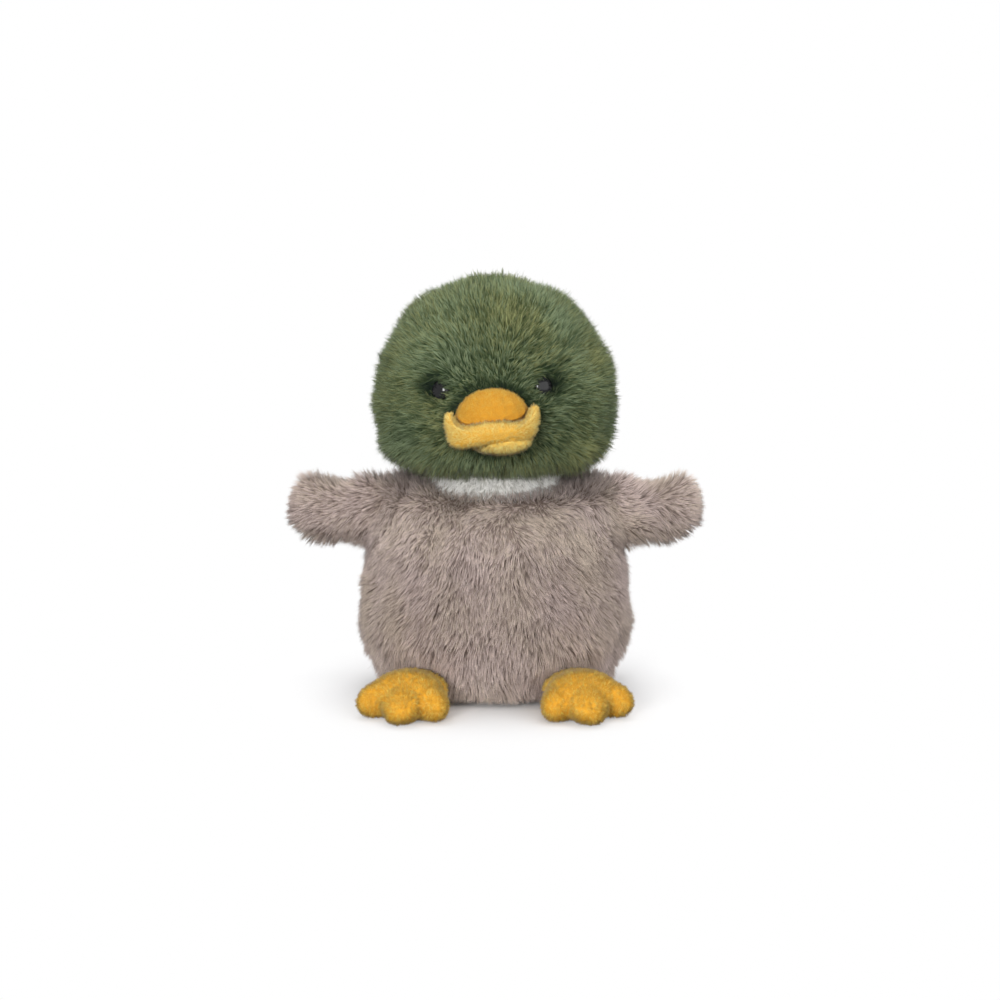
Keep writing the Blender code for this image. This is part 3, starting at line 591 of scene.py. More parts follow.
def dress(piece, body, slot_name, material, *replaced):
    """Gives a piece its material and body, and hides the nodes that it stands for. Its slot_name
    is not used.
    """
    piece.data.materials.clear()
    piece.data.materials.append(material)
    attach(piece, body)
    if replaced:
        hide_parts(*replaced)


def sew(name, body, slot_name, felt, fill, covered, copied=None, **form):
    """Stuffs a form over the copied nodes, in the place of all the nodes that it covers."""
    skin = make_skin(name, copied or covered, **form)
    dress(skin, body, slot_name, felt, *covered)
    return skin


def tree_of(piece):
    """The piece's faces, to be searched by place."""
    piece.data.calc_loop_triangles()
    corners = [tuple(t.vertices) for t in piece.data.loop_triangles]
    return BVHTree.FromPolygons([v.co.copy() for v in piece.data.vertices], corners)


def enclosed(points, tree):
    """Which points lie inside the closed form, by the number of walls that a ray meets."""
    way = Vector((0.31, -0.23, 0.92)).normalized()
    found = np.zeros(len(points), bool)
    for index, point in enumerate(points):
        place, walls = Vector(point), 0
        while walls < MOST_WALLS:
            place, _, _, _ = tree.ray_cast(place, way)
            if place is None:
                break
            place = place + way * 0.002 * MM
            walls += 1
        found[index] = walls % 2
    return found


def nearest_outside(points, tree):
    """For each point, the nearest place on the form, and the way out of it there."""
    place = np.zeros((len(points), 3))
    outward = np.zeros((len(points), 3))
    for index, point in enumerate(points):
        found, normal, _, _ = tree.find_nearest(Vector(point), 12 * MM)
        if found is not None:
            place[index] = found
            outward[index] = normal
    return place, outward


def push_out(strands, piece, clearance):
    """Drops strands that start in or run through the piece, and lays tips that enter it on it."""
    box = np.array(piece.bound_box)
    low, high = box.min(0) - NEAR_REACH, box.max(0) + NEAR_REACH
    near = ((strands.tips > low) & (strands.tips < high)).all(1)
    near |= ((strands.roots > low) & (strands.roots < high)).all(1)
    near = np.flatnonzero(near)
    tree = tree_of(piece)
    place, outward = nearest_outside(strands.tips[near], tree)
    inside = enclosed(strands.tips[near], tree)
    strands.tips[near[inside]] = place[inside] + outward[inside] * clearance
    kept = np.ones(len(strands.roots), bool)
    for share in (0.0, 0.5):
        kept[near[enclosed(strands.along(share)[near], tree)]] = False
    strands.keep(kept)


# Pile


class Strands:
    """Roots, tips, skin normals, widths and shades of many strands."""

    def __init__(self, roots, normals):
        self.roots = roots
        self.normals = normals
        self.tips = roots.copy()
        self.widths = np.zeros(len(roots))
        self.shades = np.zeros(len(roots))

    def keep(self, kept):
        """Drops the strands that aren't kept."""
        for name in ("roots", "normals", "tips", "widths", "shades"):
            setattr(self, name, getattr(self, name)[kept])

    def along(self, share):
        """The place at this share of each strand, from its root."""
        return self.roots * (1 - share) + self.tips * share


def scattered(skin, per_mm2, rng):
    """Strand roots all over the skin, with the skin's normals there."""
    mesh = skin.data
    mesh.calc_loop_triangles()
    corners = np.empty(len(mesh.loop_triangles) * 3, np.int32)
    mesh.loop_triangles.foreach_get("vertices", corners)
    corners = corners.reshape(-1, 3)
    places, normals = corners_of(mesh), corners_of(mesh, "normal")
    first, second, third = (places[corners[:, i]] for i in range(3))
    areas = np.linalg.norm(np.cross(second - first, third - first), axis=1) / 2
    number = int(areas.sum() * PER_MM2 * per_mm2)
    chosen = np.searchsorted(np.cumsum(areas), rng.random(number) * areas.sum())
    chosen = corners[np.minimum(chosen, len(areas) - 1)]
    shares = rng.random((number, 2))
    over = shares.sum(1) > 1
    shares[over] = 1 - shares[over]
    shares = np.column_stack([1 - shares.sum(1), shares])[:, :, None]
    return Strands((places[chosen] * shares).sum(1), unit((normals[chosen] * shares).sum(1)))


def along_skin(vectors, normals):
    """The part of each vector that runs along the skin, at length one."""
    return unit(vectors - normals * (vectors * normals).sum(1, keepdims=True))


def swirled(nap, normals, turn):
    """The nap turned about the skin's normals; turn is the tangent of the angle."""
    return along_skin(nap + np.cross(normals, nap) * turn[:, None], normals)


def grow(strands, nap, lean, length, width, rng, mess, uneven):
    """Raises each strand: nap is the way it leans and lean how far from upright."""
    count = len(strands.roots)
    lean = np.broadcast_to(lean, count)[:, None]
    lengths = np.broadcast_to(length, count) * rng.normal(1, uneven, count).clip(0.5, 1.4)
    way = strands.normals * np.cos(lean) + nap * np.sin(lean)
    way = unit(way + rng.normal(0, mess, way.shape))
    strands.tips = strands.roots + way * lengths[:, None]
    strands.widths = np.broadcast_to(width, count) * rng.uniform(0.75, 1.25, count)


def gather(strands, leaders, pull, rng):
    """Draws the tips to those of the leaders, a share of all the strands. Returns each
    strand's tuft and the number of tufts."""
    count = len(strands.roots)
    middles = rng.choice(count, max(1, int(count * leaders)), replace=False)
    tree = KDTree(len(middles))
    for index, middle in enumerate(middles):
        tree.insert(strands.roots[middle], index)
    tree.balance()
    tuft = np.fromiter((tree.find(root)[1] for root in strands.roots), np.int64, count)
    goal = strands.tips[middles][tuft]
    pulls = rng.uniform(pull * 0.6, pull * 1.3, len(middles))[tuft].clip(0, 0.95)[:, None]
    strands.tips = strands.tips * (1 - pulls) + goal * pulls
    return tuft, len(middles)


def shade(strands, tufts, tones, patch, families, rng):
    """Sets each strand's place on the colour map. Tones are the middle one, 0 dark to 1
    light, and how it spreads by tuft and by strand; families is the share of warm strands."""
    tuft, tuft_count = tufts
    middle, tuft_spread, strand_spread = tones
    tone = middle + rng.normal(0, tuft_spread, tuft_count)[tuft]
    tone += rng.normal(0, strand_spread, len(tuft))
    tone = (tone + patch).clip(*TONE_LIMITS)
    strands.shades = (tone + (rng.random(len(tone)) < families)) / 2


def darken(strands, share):
    """Brings the strands' tones down to the shadow colour by share, 0 to 1."""
    family = np.floor(strands.shades * 2)
    tone = strands.shades * 2 - family
    strands.shades = (family + tone * (1 - share) + 0.02 * share) / 2


def strand_piece(name, strands, normal_mix=0.5):
    """One mesh of closed three-sided spikes, whose normals lean to the skin's by normal_mix."""
    count = len(strands.roots)
    axis = unit(strands.tips - strands.roots)
    aside = unit(np.cross(axis, strands.normals + OFF_AXIS))
    above = np.cross(aside, axis)
    sunk = strands.roots - strands.normals * SUNK
    half = strands.widths[:, None] / 2
    angles = (math.radians(turn) for turn in (90, 210, 330))
    rim = [aside * math.cos(angle) + above * math.sin(angle) for angle in angles]
    verts = np.stack([sunk + r * half for r in rim] + [strands.tips], 1)
    skin_part, own = strands.normals * normal_mix, 1 - normal_mix
    normals = [unit(r * own + skin_part) for r in rim]
    normals = np.stack(normals + [unit(skin_part + axis * own * 0.5 + above * own)], 1)
    pattern = np.array([[1, 0, 3], [2, 1, 3], [0, 2, 3], [0, 1, 2]])
    faces = (np.arange(count)[:, None, None] * 4 + pattern).reshape(-1, 3)

    mesh = bpy.data.meshes.new(name)
    mesh.vertices.add(count * 4)
    mesh.vertices.foreach_set("co", verts.ravel())
    mesh.loops.add(faces.size)
    mesh.loops.foreach_set("vertex_index", faces.ravel())
    mesh.polygons.add(len(faces))
    mesh.polygons.foreach_set("loop_start", np.arange(0, faces.size, 3))
    mesh.polygons.foreach_set("use_smooth", np.ones(len(faces), bool))
    shades = strands.shades[:, None] + np.array([-SHADE_STEP, SHADE_STEP, 0.0, 0.0])
    along = np.broadcast_to(np.array([0.02, 0.02, 0.05, 0.98]), (count, 4))
    uv = np.stack([along, shades.clip(0.003, 0.997)], 2).reshape(-1, 2)
    layer = mesh.uv_layers.new(name=PILE_MAP)
    layer.uv.foreach_set("vector", uv[faces.ravel()].ravel())
    mesh.update(calc_edges=True)
    mesh.normals_split_custom_set_from_vertices(normals.reshape(-1, 3))
    piece = bpy.data.objects.new(name, mesh)
    bpy.context.scene.collection.objects.link(piece)
    return piece


def away_from_line(points, middle, axis, gap):
    """Which points are further than gap from the line along the axis through the middle."""
    off = points - middle
    along = off @ axis
    aside = np.linalg.norm(off - along[:, None] * axis, axis=1)
    return (aside > gap) | (along < -EYE_DEPTH)


def keep_off_floor(strands, gap):
    """Lays what would come nearer to the floor than the gap along it."""
    strands.tips[:, 2] = np.maximum(strands.tips[:, 2], gap)


def panels(strands, name):
    """The strands split into six parts, going round the duck from its front."""
    turn = np.arctan2(strands.roots[:, 0], -strands.roots[:, 1]) / (2 * math.pi) * len(PANELS)
    side = np.round(turn).astype(int) % len(PANELS)
    for index, panel in enumerate(PANELS):
        part = Strands(strands.roots, strands.normals)
        part.tips, part.widths, part.shades = strands.tips, strands.widths, strands.shades
        part.keep(side == index)
        yield f"{name}_{panel}", part


# Bill


def shape_crown(places):
    """The crown sits a little to the duck's right, and goes down behind the lip."""
    x, y, z = places.T
    down = np.clip((CROWN_FLARE_Z - z) / CROWN_FLARE_DROP, 0, 0.9)
    flare = 1 / np.sqrt(1 - down**2)
    across = np.clip(x * flare / CROWN_HALF_WIDTH, -1, 1)
    front = CROWN_FRONT_Y + 8.0 * MM * across**2
    y[:] = np.maximum(FACE_POINT[1] + (y - FACE_POINT[1]) * flare, front)
    x[:] = across * CROWN_HALF_WIDTH - 1.0 * MM
    z += 0.4 * MM
    return places


def shape_lip(places):
    """Nearly straight under the crown, with tall, pointed corners."""
    x, y, z = places.T
    across = np.clip(np.abs(x) / LIP_HALF_WIDTH, 0, 1)
    above = z - (LIP_MIDDLE_Z + 5.5 * MM * across**2 + 0.07 * x)
    upper = smooth_step(above, -1 * MM, 2 * MM)
    z -= upper * 5.0 * MM * (across**2 - across**7)
    z += np.minimum(above, 0) * np.where(x < 0, 0.85, 0.45) * across**2 + 1.6 * MM
    x -= 1.2 * MM
    return places


def shape_roll(places):
    """The lower roll hangs full and upright under the lip, towards the duck's left."""
    x, y, z = places.T
    rise = z - ROLL_BODY[0][2]
    z[:] = ROLL_Z + rise * 1.5
    y -= 0.9 * MM + np.clip(-rise, 0, 4 * MM) * 0.6
    x += 1.6 * MM
    return places


class BillForm(NamedTuple):
    """How one form of the bill is stuffed, and how its pile stands."""

    node: str
    slot_name: str
    backing: tuple                  # name and two colours
    shape: object
    seed: int
    density: float                  # strands per square millimetre
    width: float
    spread: float                   # of the tones
    lift: float = 16 * MM           # lifts the nap, or with a minus draws it down
    tone: float = 0.0               # added to every strand's
    rounding: int = 4
    fillers: tuple = ()


BILL_FORMS = (
    BillForm(
        "bill_crown", "bill_plush", ("crown_backing", (0.54, 0.24, 0.022), (0.62, 0.30, 0.03)),
        shape_crown, 11, 9.0, 0.24 * MM, 0.10,
    ),
    BillForm(
        "bill_lip", "foot_plush", ("lip_backing", (0.64, 0.34, 0.045), (0.74, 0.43, 0.065)),
        shape_lip, 12, 8.0, STRAND_WIDTH, 0.16,
    ),
    # the lower roll's higher tone and lighter backing are painted light on its shaded underside
    BillForm(
        "lower_bill", "foot_plush", ("roll_backing", (0.72, 0.46, 0.09), (0.80, 0.55, 0.13)),
        shape_roll, 13, 8.0, STRAND_WIDTH, 0.12, -6 * MM, 0.2, 16, (ROLL_BODY,),
    ),
)


class PLUSH_OT_bill(bpy.types.Operator):
    """Stuff the bill and cover it with sheared pile."""

    bl_idname = "plush.bill"
    bl_label = "Bill"

    def execute(self, context):
        sizes = context.scene.plush_bill
        velvet = pile_material(
            "bill_velvet", sizes.crown_root, (0.57, 0.235, 0.021), sizes.crown_tip,
            sizes.crown_tip, (0.3, 0.09, 0.01), 0.5, 0.1,
        )
        plush = pile_material(
            "lip_plush", sizes.lip_root, (0.77, 0.46, 0.072), sizes.lip_tip,
            (0.88, 0.64, 0.20), (0.3, 0.1, 0.01), 0.6, 0.1,
        )
        piles = {
            "bill_crown": (velvet, sizes.crown_pile),
            "bill_lip": (plush, sizes.lip_pile),
            "lower_bill": (plush, sizes.lip_pile),
        }
        for form in BILL_FORMS:
            PIECES[form.node] = sew(
                form.node + "_form", "head", form.slot_name, felt_material(*form.backing), 0.8,
                [form.node], voxel=0.6 * MM, rounding=form.rounding,
                inset=piles[form.node][1] * 0.35, hull=bool(form.fillers),
                fillers=form.fillers, shape=form.shape,
            )
        for form in BILL_FORMS:
            pile, length = piles[form.node]
            rng = np.random.default_rng(form.seed)
            strands = scattered(PIECES[form.node], form.density, rng)
            depth = (((strands.roots - HEAD_MIDDLE) / HEAD_HALF) ** 2).sum(1)
            strands.keep(depth > BILL_DEPTH)
            away = strands.roots - FACE_POINT + np.array([0, 0, form.lift])
            nap = along_skin(away, strands.normals)
            grow(strands, nap, math.radians(28), length, form.width, rng, 0.28, 0.18)
            tufts = gather(strands, 0.12, 0.35, rng)
            patch = Waves(5 * MM, form.seed).at(strands.roots) * form.spread * 0.6 + form.tone
            shade(strands, tufts, (0.6, form.spread, form.spread), patch, 0.4, rng)
            for other in piles:
                if other != form.node:
                    push_out(strands, PIECES[other], 0.2 * MM)
            piece = strand_piece(form.node + "_pile", strands, SHORT_NORMAL_MIX)
            dress(piece, "head", form.slot_name, pile)
        return {"FINISHED"}


class PLUSH_OT_eyes(bpy.types.Operator):
    """Turn the glossy safety eyes."""

    bl_idname = "plush.eyes"
    bl_label = "Eyes"

    def execute(self, context):
        sizes = context.scene.plush_eye
        gloss, _ = new_material(
            "eye_black", sizes.roughness, Base_Color=rgba(sizes.colour), Specular_IOR_Level=0.33
        )
        washer, _ = new_material("washer_white", 0.5, Base_Color=(0.55, 0.55, 0.54, 1))
        for name, shift in EYE_SHIFTS.items():
            low, high = (np.array(corner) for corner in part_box(name))
            axis = unit((low + high) / 2 - HEAD_MIDDLE)
            turn = np.array(Vector(axis).to_track_quat("Z", "Y").to_matrix())
            middle = (low + high) / 2 + axis * EYE_LIFT + np.array(shift)
            eye = add_ball(name + "_dome", (0, 0, 0), EYE_HALF)
            move_corners(eye, corners_of(eye.data) @ turn.T + middle)
            select_only(eye)
            bpy.ops.object.shade_smooth()
            dress(eye, "head", "eye_gloss", gloss, name)
            PIECES[name] = eye
            EYE_LINES[name] = (middle, axis)
            washer_node = name.replace("eye", "eye_washer")
            disc = copy_of(name + "_disc", [washer_node])
            move_corners(disc, corners_of(disc.data) - axis * WASHER_SINK)
            dress(disc, "head", "washer_plastic", washer, washer_node)
        return {"FINISHED"}


def shape_head(places):
    """Flatter on the duck's upper left, and full down to the neck, as in the photograph."""
    x, y, z = places.T
    high = smooth_step(z, 128 * MM, 165 * MM)
    low = 1 - smooth_step(z, 97 * MM, 112 * MM)
    x *= 1.018 - 0.045 * high * (x > 0) - 0.02 * high + 0.05 * low
    y *= 1 + 0.03 * low
    return places


class PLUSH_OT_head(bpy.types.Operator):
    """Stuff the head and cover it with green pile that runs away from the bill."""

    bl_idname = "plush.head"
    bl_label = "Head"

    def execute(self, context):
        sizes = context.scene.plush_head
        skin = sew(
            "head_skin", "head", "head_plush",
            felt_material("head_backing", sizes.root, sizes.dark_tip), 0.85,
            ["head_cover", "head_stuffing"], ["head_cover"], voxel=COVER_VOXEL, rounding=3,
            inset=sizes.pile_length * math.cos(HEAD_LEAN) * 0.74, hull=True, swell=2 * MM,
            lumps=0.45 * MM, shape=shape_head,
        )
        rng = np.random.default_rng(101)
        strands = scattered(skin, sizes.pile_density, rng)
        x, y, z = strands.roots.T
        strands.keep((z - NECK_Z > 9 * MM) | (np.hypot(x, y) > 23 * MM))
        roots, normals = strands.roots, strands.normals
        x, y, z = roots.T

        # away from the bill in front, and down behind
        away = along_skin(roots - FACE_POINT, normals)
        down = along_skin(np.broadcast_to(np.array([0, 0.25, -1.0]), roots.shape), normals)
        behind = smooth_step(y, 0, 38 * MM)[:, None]
        nap = away * (1 - behind) + down * behind
        nap = swirled(nap, normals, Waves(22 * MM, 7).at(roots) * 0.28)
        from_face = np.linalg.norm(roots - FACE_POINT, axis=1)
        hem = 1 - smooth_step(z, 98 * MM, 112 * MM)
        parting = bell(x, -3 * MM, 1.6 * MM) * (z > 138 * MM)
        lengths = sizes.pile_length * (0.78 + 0.22 * smooth_step(from_face, 16 * MM, 34 * MM))
        lengths *= (1 + 0.35 * hem) * (1 - 0.18 * parting)
        leans = (HEAD_LEAN + Waves(12 * MM, 8).at(roots) * 0.10) * (1 - 0.55 * hem)

        # towards each eye close round it, with painted shade beside it
        eye_shade = np.zeros(len(roots))
        for middle, axis in EYE_LINES.values():
            off = roots - middle
            aside = off - (off @ axis)[:, None] * axis
            gap = np.linalg.norm(aside, axis=1)
            near = (1 - smooth_step(gap, 5 * MM, 8.5 * MM)) * (off @ axis > -EYE_DEPTH)
            nap = unit(nap * (1 - near[:, None]) - unit(aside) * near[:, None])
            leans = leans * (1 - near) + math.radians(27) * near
            lengths *= 1 + 0.12 * near
            # middle of the painted shade, out and up from the eye
            dark = middle + np.array([math.copysign(2.2 * MM, middle[0]), 0, 1.0 * MM])
            far = smooth_step(np.linalg.norm(roots - dark, axis=1), 4 * MM, 9.5 * MM)
            eye_shade = np.maximum(eye_shade, 1 - far)

        grow(strands, nap, leans, lengths, STRAND_WIDTH, rng, 0.34, 0.17)
        for leaders, pull in HEAD_TUFTS:
            tufts = gather(strands, leaders, pull, rng)
        patch = Waves(26 * MM, 9).at(roots) * 0.06 + Waves(9 * MM, 10).at(roots) * 0.08
        # painted light: lighter towards the top and on the chin under the bill; painted shade
        # along the parting
        patch += 0.10 * smooth_step(z, 120 * MM, 165 * MM) - 0.2 * parting + 0.55 * hem * (y < 0)
        families = 0.35 + 0.2 * Waves(30 * MM, 12).at(roots)
        shade(strands, tufts, (0.43, 0.40, 0.18), patch, families, rng)
        # painted shade round the edge of the bill
        ring = np.hypot((x + 1 * MM) / (15.5 * MM), (z - 118.5 * MM) / (13 * MM))
        bill_edge_shade = (1 - smooth_step(ring, 1.0, 1.2)) * (y < -30 * MM)
        # darker with painted shade beside the eyes and round the bill
        darken(strands, np.maximum(eye_shade * 0.93, bill_edge_shade * 0.75))
        for form in BILL_FORMS:
            push_out(strands, PIECES[form.node], 0.9 * MM)
        for name, (middle, axis) in EYE_LINES.items():
            push_out(strands, PIECES[name], 0.3 * MM)
            strands.keep(away_from_line(strands.roots, middle, axis, 2.7 * MM))
            gaze = unit(axis + np.array([0, -1.0, 0.1]))
            opening = middle + axis * 2 * MM - np.array([0.8 * MM, 0, 0])
            for share in (1.0, 0.8, 0.6):
                strands.keep(away_from_line(strands.along(share), opening, gaze, 1.8 * MM))
        pile = pile_material(
            "head_pile", sizes.root, sizes.dark_tip, sizes.light_tip, sizes.warm_tip,
            sizes.shadow, 0.85,
        )
        for name, part in panels(strands, "head_fur"):
            dress(strand_piece(name, part), "head", "head_plush", pile)
        return {"FINISHED"}


def shape_body(places):
    """Fuller at the hips, and flat on the floor right out to the base's rim."""
    x, y, z = places.T
    x *= 1 + 0.042 * bell(z, 26 * MM, 14 * MM)
    low = 1 - smooth_step(z, 0, 14 * MM)
    places[:, :2] *= 1 + 0.05 * low[:, None]
    z -= 3.0 * MM * low
    front = smooth_step(-y, 4 * MM, 30 * MM)
    y *= 1 + front * (0.14 * bell(z, 71 * MM, 14 * MM) + 0.06 * low)
    z += 2.0 * MM * front * smooth_step(z, 70 * MM, 82 * MM)
    return places


class PLUSH_OT_body(bpy.types.Operator):
    """Stuff the body and cover it with taupe pile that is combed down."""

    bl_idname = "plush.body"
    bl_label = "Body"

    def execute(self, context):
        sizes = context.scene.plush_body
        pile, felt = body_cloths(sizes)
        (out, ahead, up), half = SHOULDER
        skin = sew(
            "body_skin", "body", "body_plush", felt, 0.8,
            ["body_cover", "base_panel", "body_stuffing", "pellet_bag"],
            ["body_cover", "base_panel"], voxel=COVER_VOXEL, rounding=3,
            inset=sizes.pile_length * math.cos(BODY_LEAN) * 0.88, hull=True,
            fillers=[((out, ahead, up), half), ((-out, ahead, up), half)],
            swell=2 * MM, lumps=0.4 * MM, shape=shape_body,
        )
        rng = np.random.default_rng(202)
        strands = scattered(skin, sizes.pile_density, rng)
        (x, y, z), facing_up = strands.roots.T, strands.normals[:, 2]
        in_wing = np.hypot(np.abs(x) - WING_HINGE_X, z - WING_HINGE_Z) < 8 * MM
        in_wing &= np.abs(y) < 6 * MM
        under = (facing_up < -0.96) & (z < 12 * MM) | (z < 0.8 * MM)
        on_top = (facing_up > 0.9) & (np.hypot(x, y) < 22 * MM)
        strands.keep(~(in_wing | under | on_top))
        roots, normals = strands.roots, strands.normals
        (x, y, z), facing_up = roots.T, normals[:, 2]

        # down all over, and forward and back from the shoulders' ridge
        way = np.array([0, 0, -1.0]) + roots * np.array([0.42, 0.2, 0]) / (55 * MM)
        way[:, 1] += 1.3 * smooth_step(z, 52 * MM, 84 * MM) * np.tanh(y / (10 * MM))
        turn = Waves(26 * MM, 21).at(roots) * 0.22 + Waves(11 * MM, 22).at(roots) * 0.12
        nap = swirled(along_skin(way, normals), normals, turn)

        collar_rim = 1 - smooth_step(np.hypot(x, y), 25 * MM, 34 * MM)
        collar_rim *= smooth_step(z, 72 * MM, 80 * MM)
        top = smooth_step(facing_up, 0.45, 0.85) * smooth_step(z, 60 * MM, 74 * MM)
        top *= smooth_step(np.abs(x), 16 * MM, 30 * MM)
        low = 1 - smooth_step(z, 4 * MM, 16 * MM)
        facing_down = low * smooth_step(-facing_up, 0.1, 0.6)
        front = smooth_step(-y, 4 * MM, 24 * MM) * smooth_step(z, 55 * MM, 75 * MM)
        instep = (np.abs(np.abs(x) - FOOT_HINGE[0]) < 17 * MM) & (y < -20 * MM)
        over_foot = instep * bell(z, 20 * MM, 5 * MM)
        seam_x = FOOT_HINGE[0] + (89 * MM - z) * 0.63
        seam = bell(np.abs(x), seam_x, 1.5 * MM) * (y < 0) * smooth_step(z, 58 * MM, 64 * MM)

        lengths = sizes.pile_length * (1 + 0.05 * Waves(18 * MM, 24).at(roots))
        lengths *= (1 + 0.15 * top) * (1 + 0.2 * low) * (1 + 0.3 * over_foot) * (1 - 0.4 * seam)
        leans = BODY_LEAN + Waves(14 * MM, 23).at(roots) * 0.10
        leans *= 1 - np.maximum(0.5 * np.maximum(collar_rim, top), 0.85 * facing_down)
        chest = front * smooth_step(facing_up, 0.1, 0.5) * (1 - collar_rim)
        leans = np.minimum(leans + 0.46 * chest, MOST_LEAN) + 0.15 * over_foot
        grow(strands, nap, leans, lengths, STRAND_WIDTH, rng, 0.18, 0.15)
        for leaders, pull in LONG_TUFTS:
            tufts = gather(strands, leaders, pull, rng)
        keep_off_floor(strands, 1.4 * MM)
        patch = Waves(30 * MM, 25).at(roots) * 0.05 + Waves(8 * MM, 26).at(roots) * 0.07
        # painted light on the chest, which the head shades, and painted shade along the seam
        patch += 0.34 * front - 0.25 * seam + 0.02
        families = 0.4 + 0.25 * Waves(28 * MM, 27).at(roots) + 0.3 * front
        shade(strands, tufts, (0.56, 0.26, 0.17), patch, families, rng)
        # painted shadow: darker close to the floor
        darken(strands, 0.8 * (1 - smooth_step(z, 1.0 * MM, 5 * MM)))
        for name in ("foot_left", "foot_right", "collar"):
            push_out(strands, PIECES[name], 0.8 * MM)
        for name, part in panels(strands, "body_fur"):
            dress(strand_piece(name, part), "body", "body_plush", pile)
        return {"FINISHED"}


class PLUSH_OT_collar(bpy.types.Operator):
    """Band the neck with short white pile."""

    bl_idname = "plush.collar"
    bl_label = "Collar"

    def execute(self, context):
        sizes = context.scene.plush_collar
        skin = PIECES["collar"] = sew(
            "collar_skin", "neck", "collar_plush",
            felt_material("collar_backing", sizes.root, sizes.dark_tip), 0.7,
            ["neck_collar", "neck_stuffing"], ["neck_collar"], voxel=2 * MM, rounding=2,
            inset=1.6 * MM, hull=True,
        )
        rng = np.random.default_rng(303)
        strands = scattered(skin, 5.0, rng)
        strands.keep(np.abs(strands.normals[:, 2]) < 0.8)
        tousle = rng.normal(0, 0.5, strands.roots.shape)
        nap = along_skin(np.array([0, 0, -1.0]) + tousle, strands.normals)
        grow(strands, nap, math.radians(40), sizes.pile_length, 0.4 * MM, rng, 0.3, 0.2)
        tufts = gather(strands, 0.06, 0.5, rng)
        shade(strands, tufts, (0.6, 0.14, 0.1), 0, 0.5, rng)
        pile = pile_material(
            "collar_pile", sizes.root, sizes.dark_tip, sizes.light_tip, sizes.light_tip,
            sizes.root, 0.7,
        )
        dress(strand_piece("collar_fur", strands), "neck", "collar_plush", pile)
        return {"FINISHED"}


class PLUSH_OT_wings(bpy.types.Operator):
    """Stuff the wings and cover them with pile that runs out to their tips."""

    bl_idname = "plush.wings"
    bl_label = "Wings"

    def execute(self, context):
        sizes = context.scene.plush_body
        pile, felt = body_cloths(sizes)
        # the duck's left wing, away from the key lamp, gets a lighter middle tone: painted light
        for side, name, seed, middle in ((1, "wing_left", 41, 0.77), (-1, "wing_right", 42, 0.62)):
            skin = sew(
                name + "_skin", name, "body_plush", felt, 0.7,
                [name + "_cover", name + "_stuffing"], voxel=2 * MM, rounding=6,
                inset=2.7 * MM, swell=0.8 * MM, lumps=0.3 * MM,
            )
            rng = np.random.default_rng(seed)
            strands = scattered(skin, 6.2, rng)
            strands.keep(strands.roots[:, 0] * side > WING_HINGE_X - 9 * MM)
            roots, normals = strands.roots, strands.normals
            x, y, z = roots.T
            way = np.zeros_like(roots)
            way[:, 0] = side
            way[:, 2] = -0.28 + 0.35 * (z - WING_HINGE_Z) / (17 * MM)
            turn = Waves(18 * MM, seed + 10).at(roots) * 0.25
            nap = swirled(along_skin(way, normals), normals, turn)
            tip = smooth_step(x * side, 76 * MM, 88 * MM)
            upper = smooth_step(normals[:, 2], 0.3, 0.8)
            under = smooth_step(-normals[:, 2], 0.2, 0.7)
            fold = bell(z, WING_HINGE_Z - 6.5 * MM, 1.3 * MM) * (1 - tip)
            lengths = sizes.pile_length * (0.94 - 0.2 * tip + 0.08 * upper + 0.16 * under)
            lengths *= 1 - 0.35 * fold
            leans = math.radians(52) + Waves(12 * MM, seed + 20).at(roots) * 0.1
            leans -= 0.2 * tip + 0.2 * upper + 0.28 * under
            grow(strands, nap, leans, lengths, STRAND_WIDTH, rng, 0.18, 0.15)
            for leaders, pull in LONG_TUFTS:
                tufts = gather(strands, leaders, pull, rng)
            # painted shade in the fold along the wing
            patch = Waves(20 * MM, seed + 30).at(roots) * 0.06 - 0.2 * fold
            families = 0.45 + 0.25 * Waves(20 * MM, seed + 40).at(roots)
            shade(strands, tufts, (middle, 0.21, 0.16), patch, families, rng)
            dress(strand_piece(name + "_fur", strands), name, "body_plush", pile)
        return {"FINISHED"}


def foot_shape(heel, forward):
    """A shape for a foot: narrower and lower towards the heel, where the body's pile hides it."""
    sideways = np.array([forward[1], -forward[0]])

    def shape(places):
        ahead = (places[:, :2] - heel) @ forward
        share = smooth_step(ahead, -10 * MM, 15 * MM)[:, None]
        spine = heel + ahead[:, None] * forward
        places[:, :2] = spine + (places[:, :2] - spine) * (0.76 + 0.24 * share)
        places[:, 2:] *= 0.88 + 0.12 * share
        aside = np.abs((places[:, :2] - heel) @ sideways)
        toe = smooth_step(ahead, 12 * MM, 36 * MM) * (1 - smooth_step(aside, 4 * MM, 11 * MM))
        places[:, 2] *= 1 - 0.26 * toe
        return places

    return shape


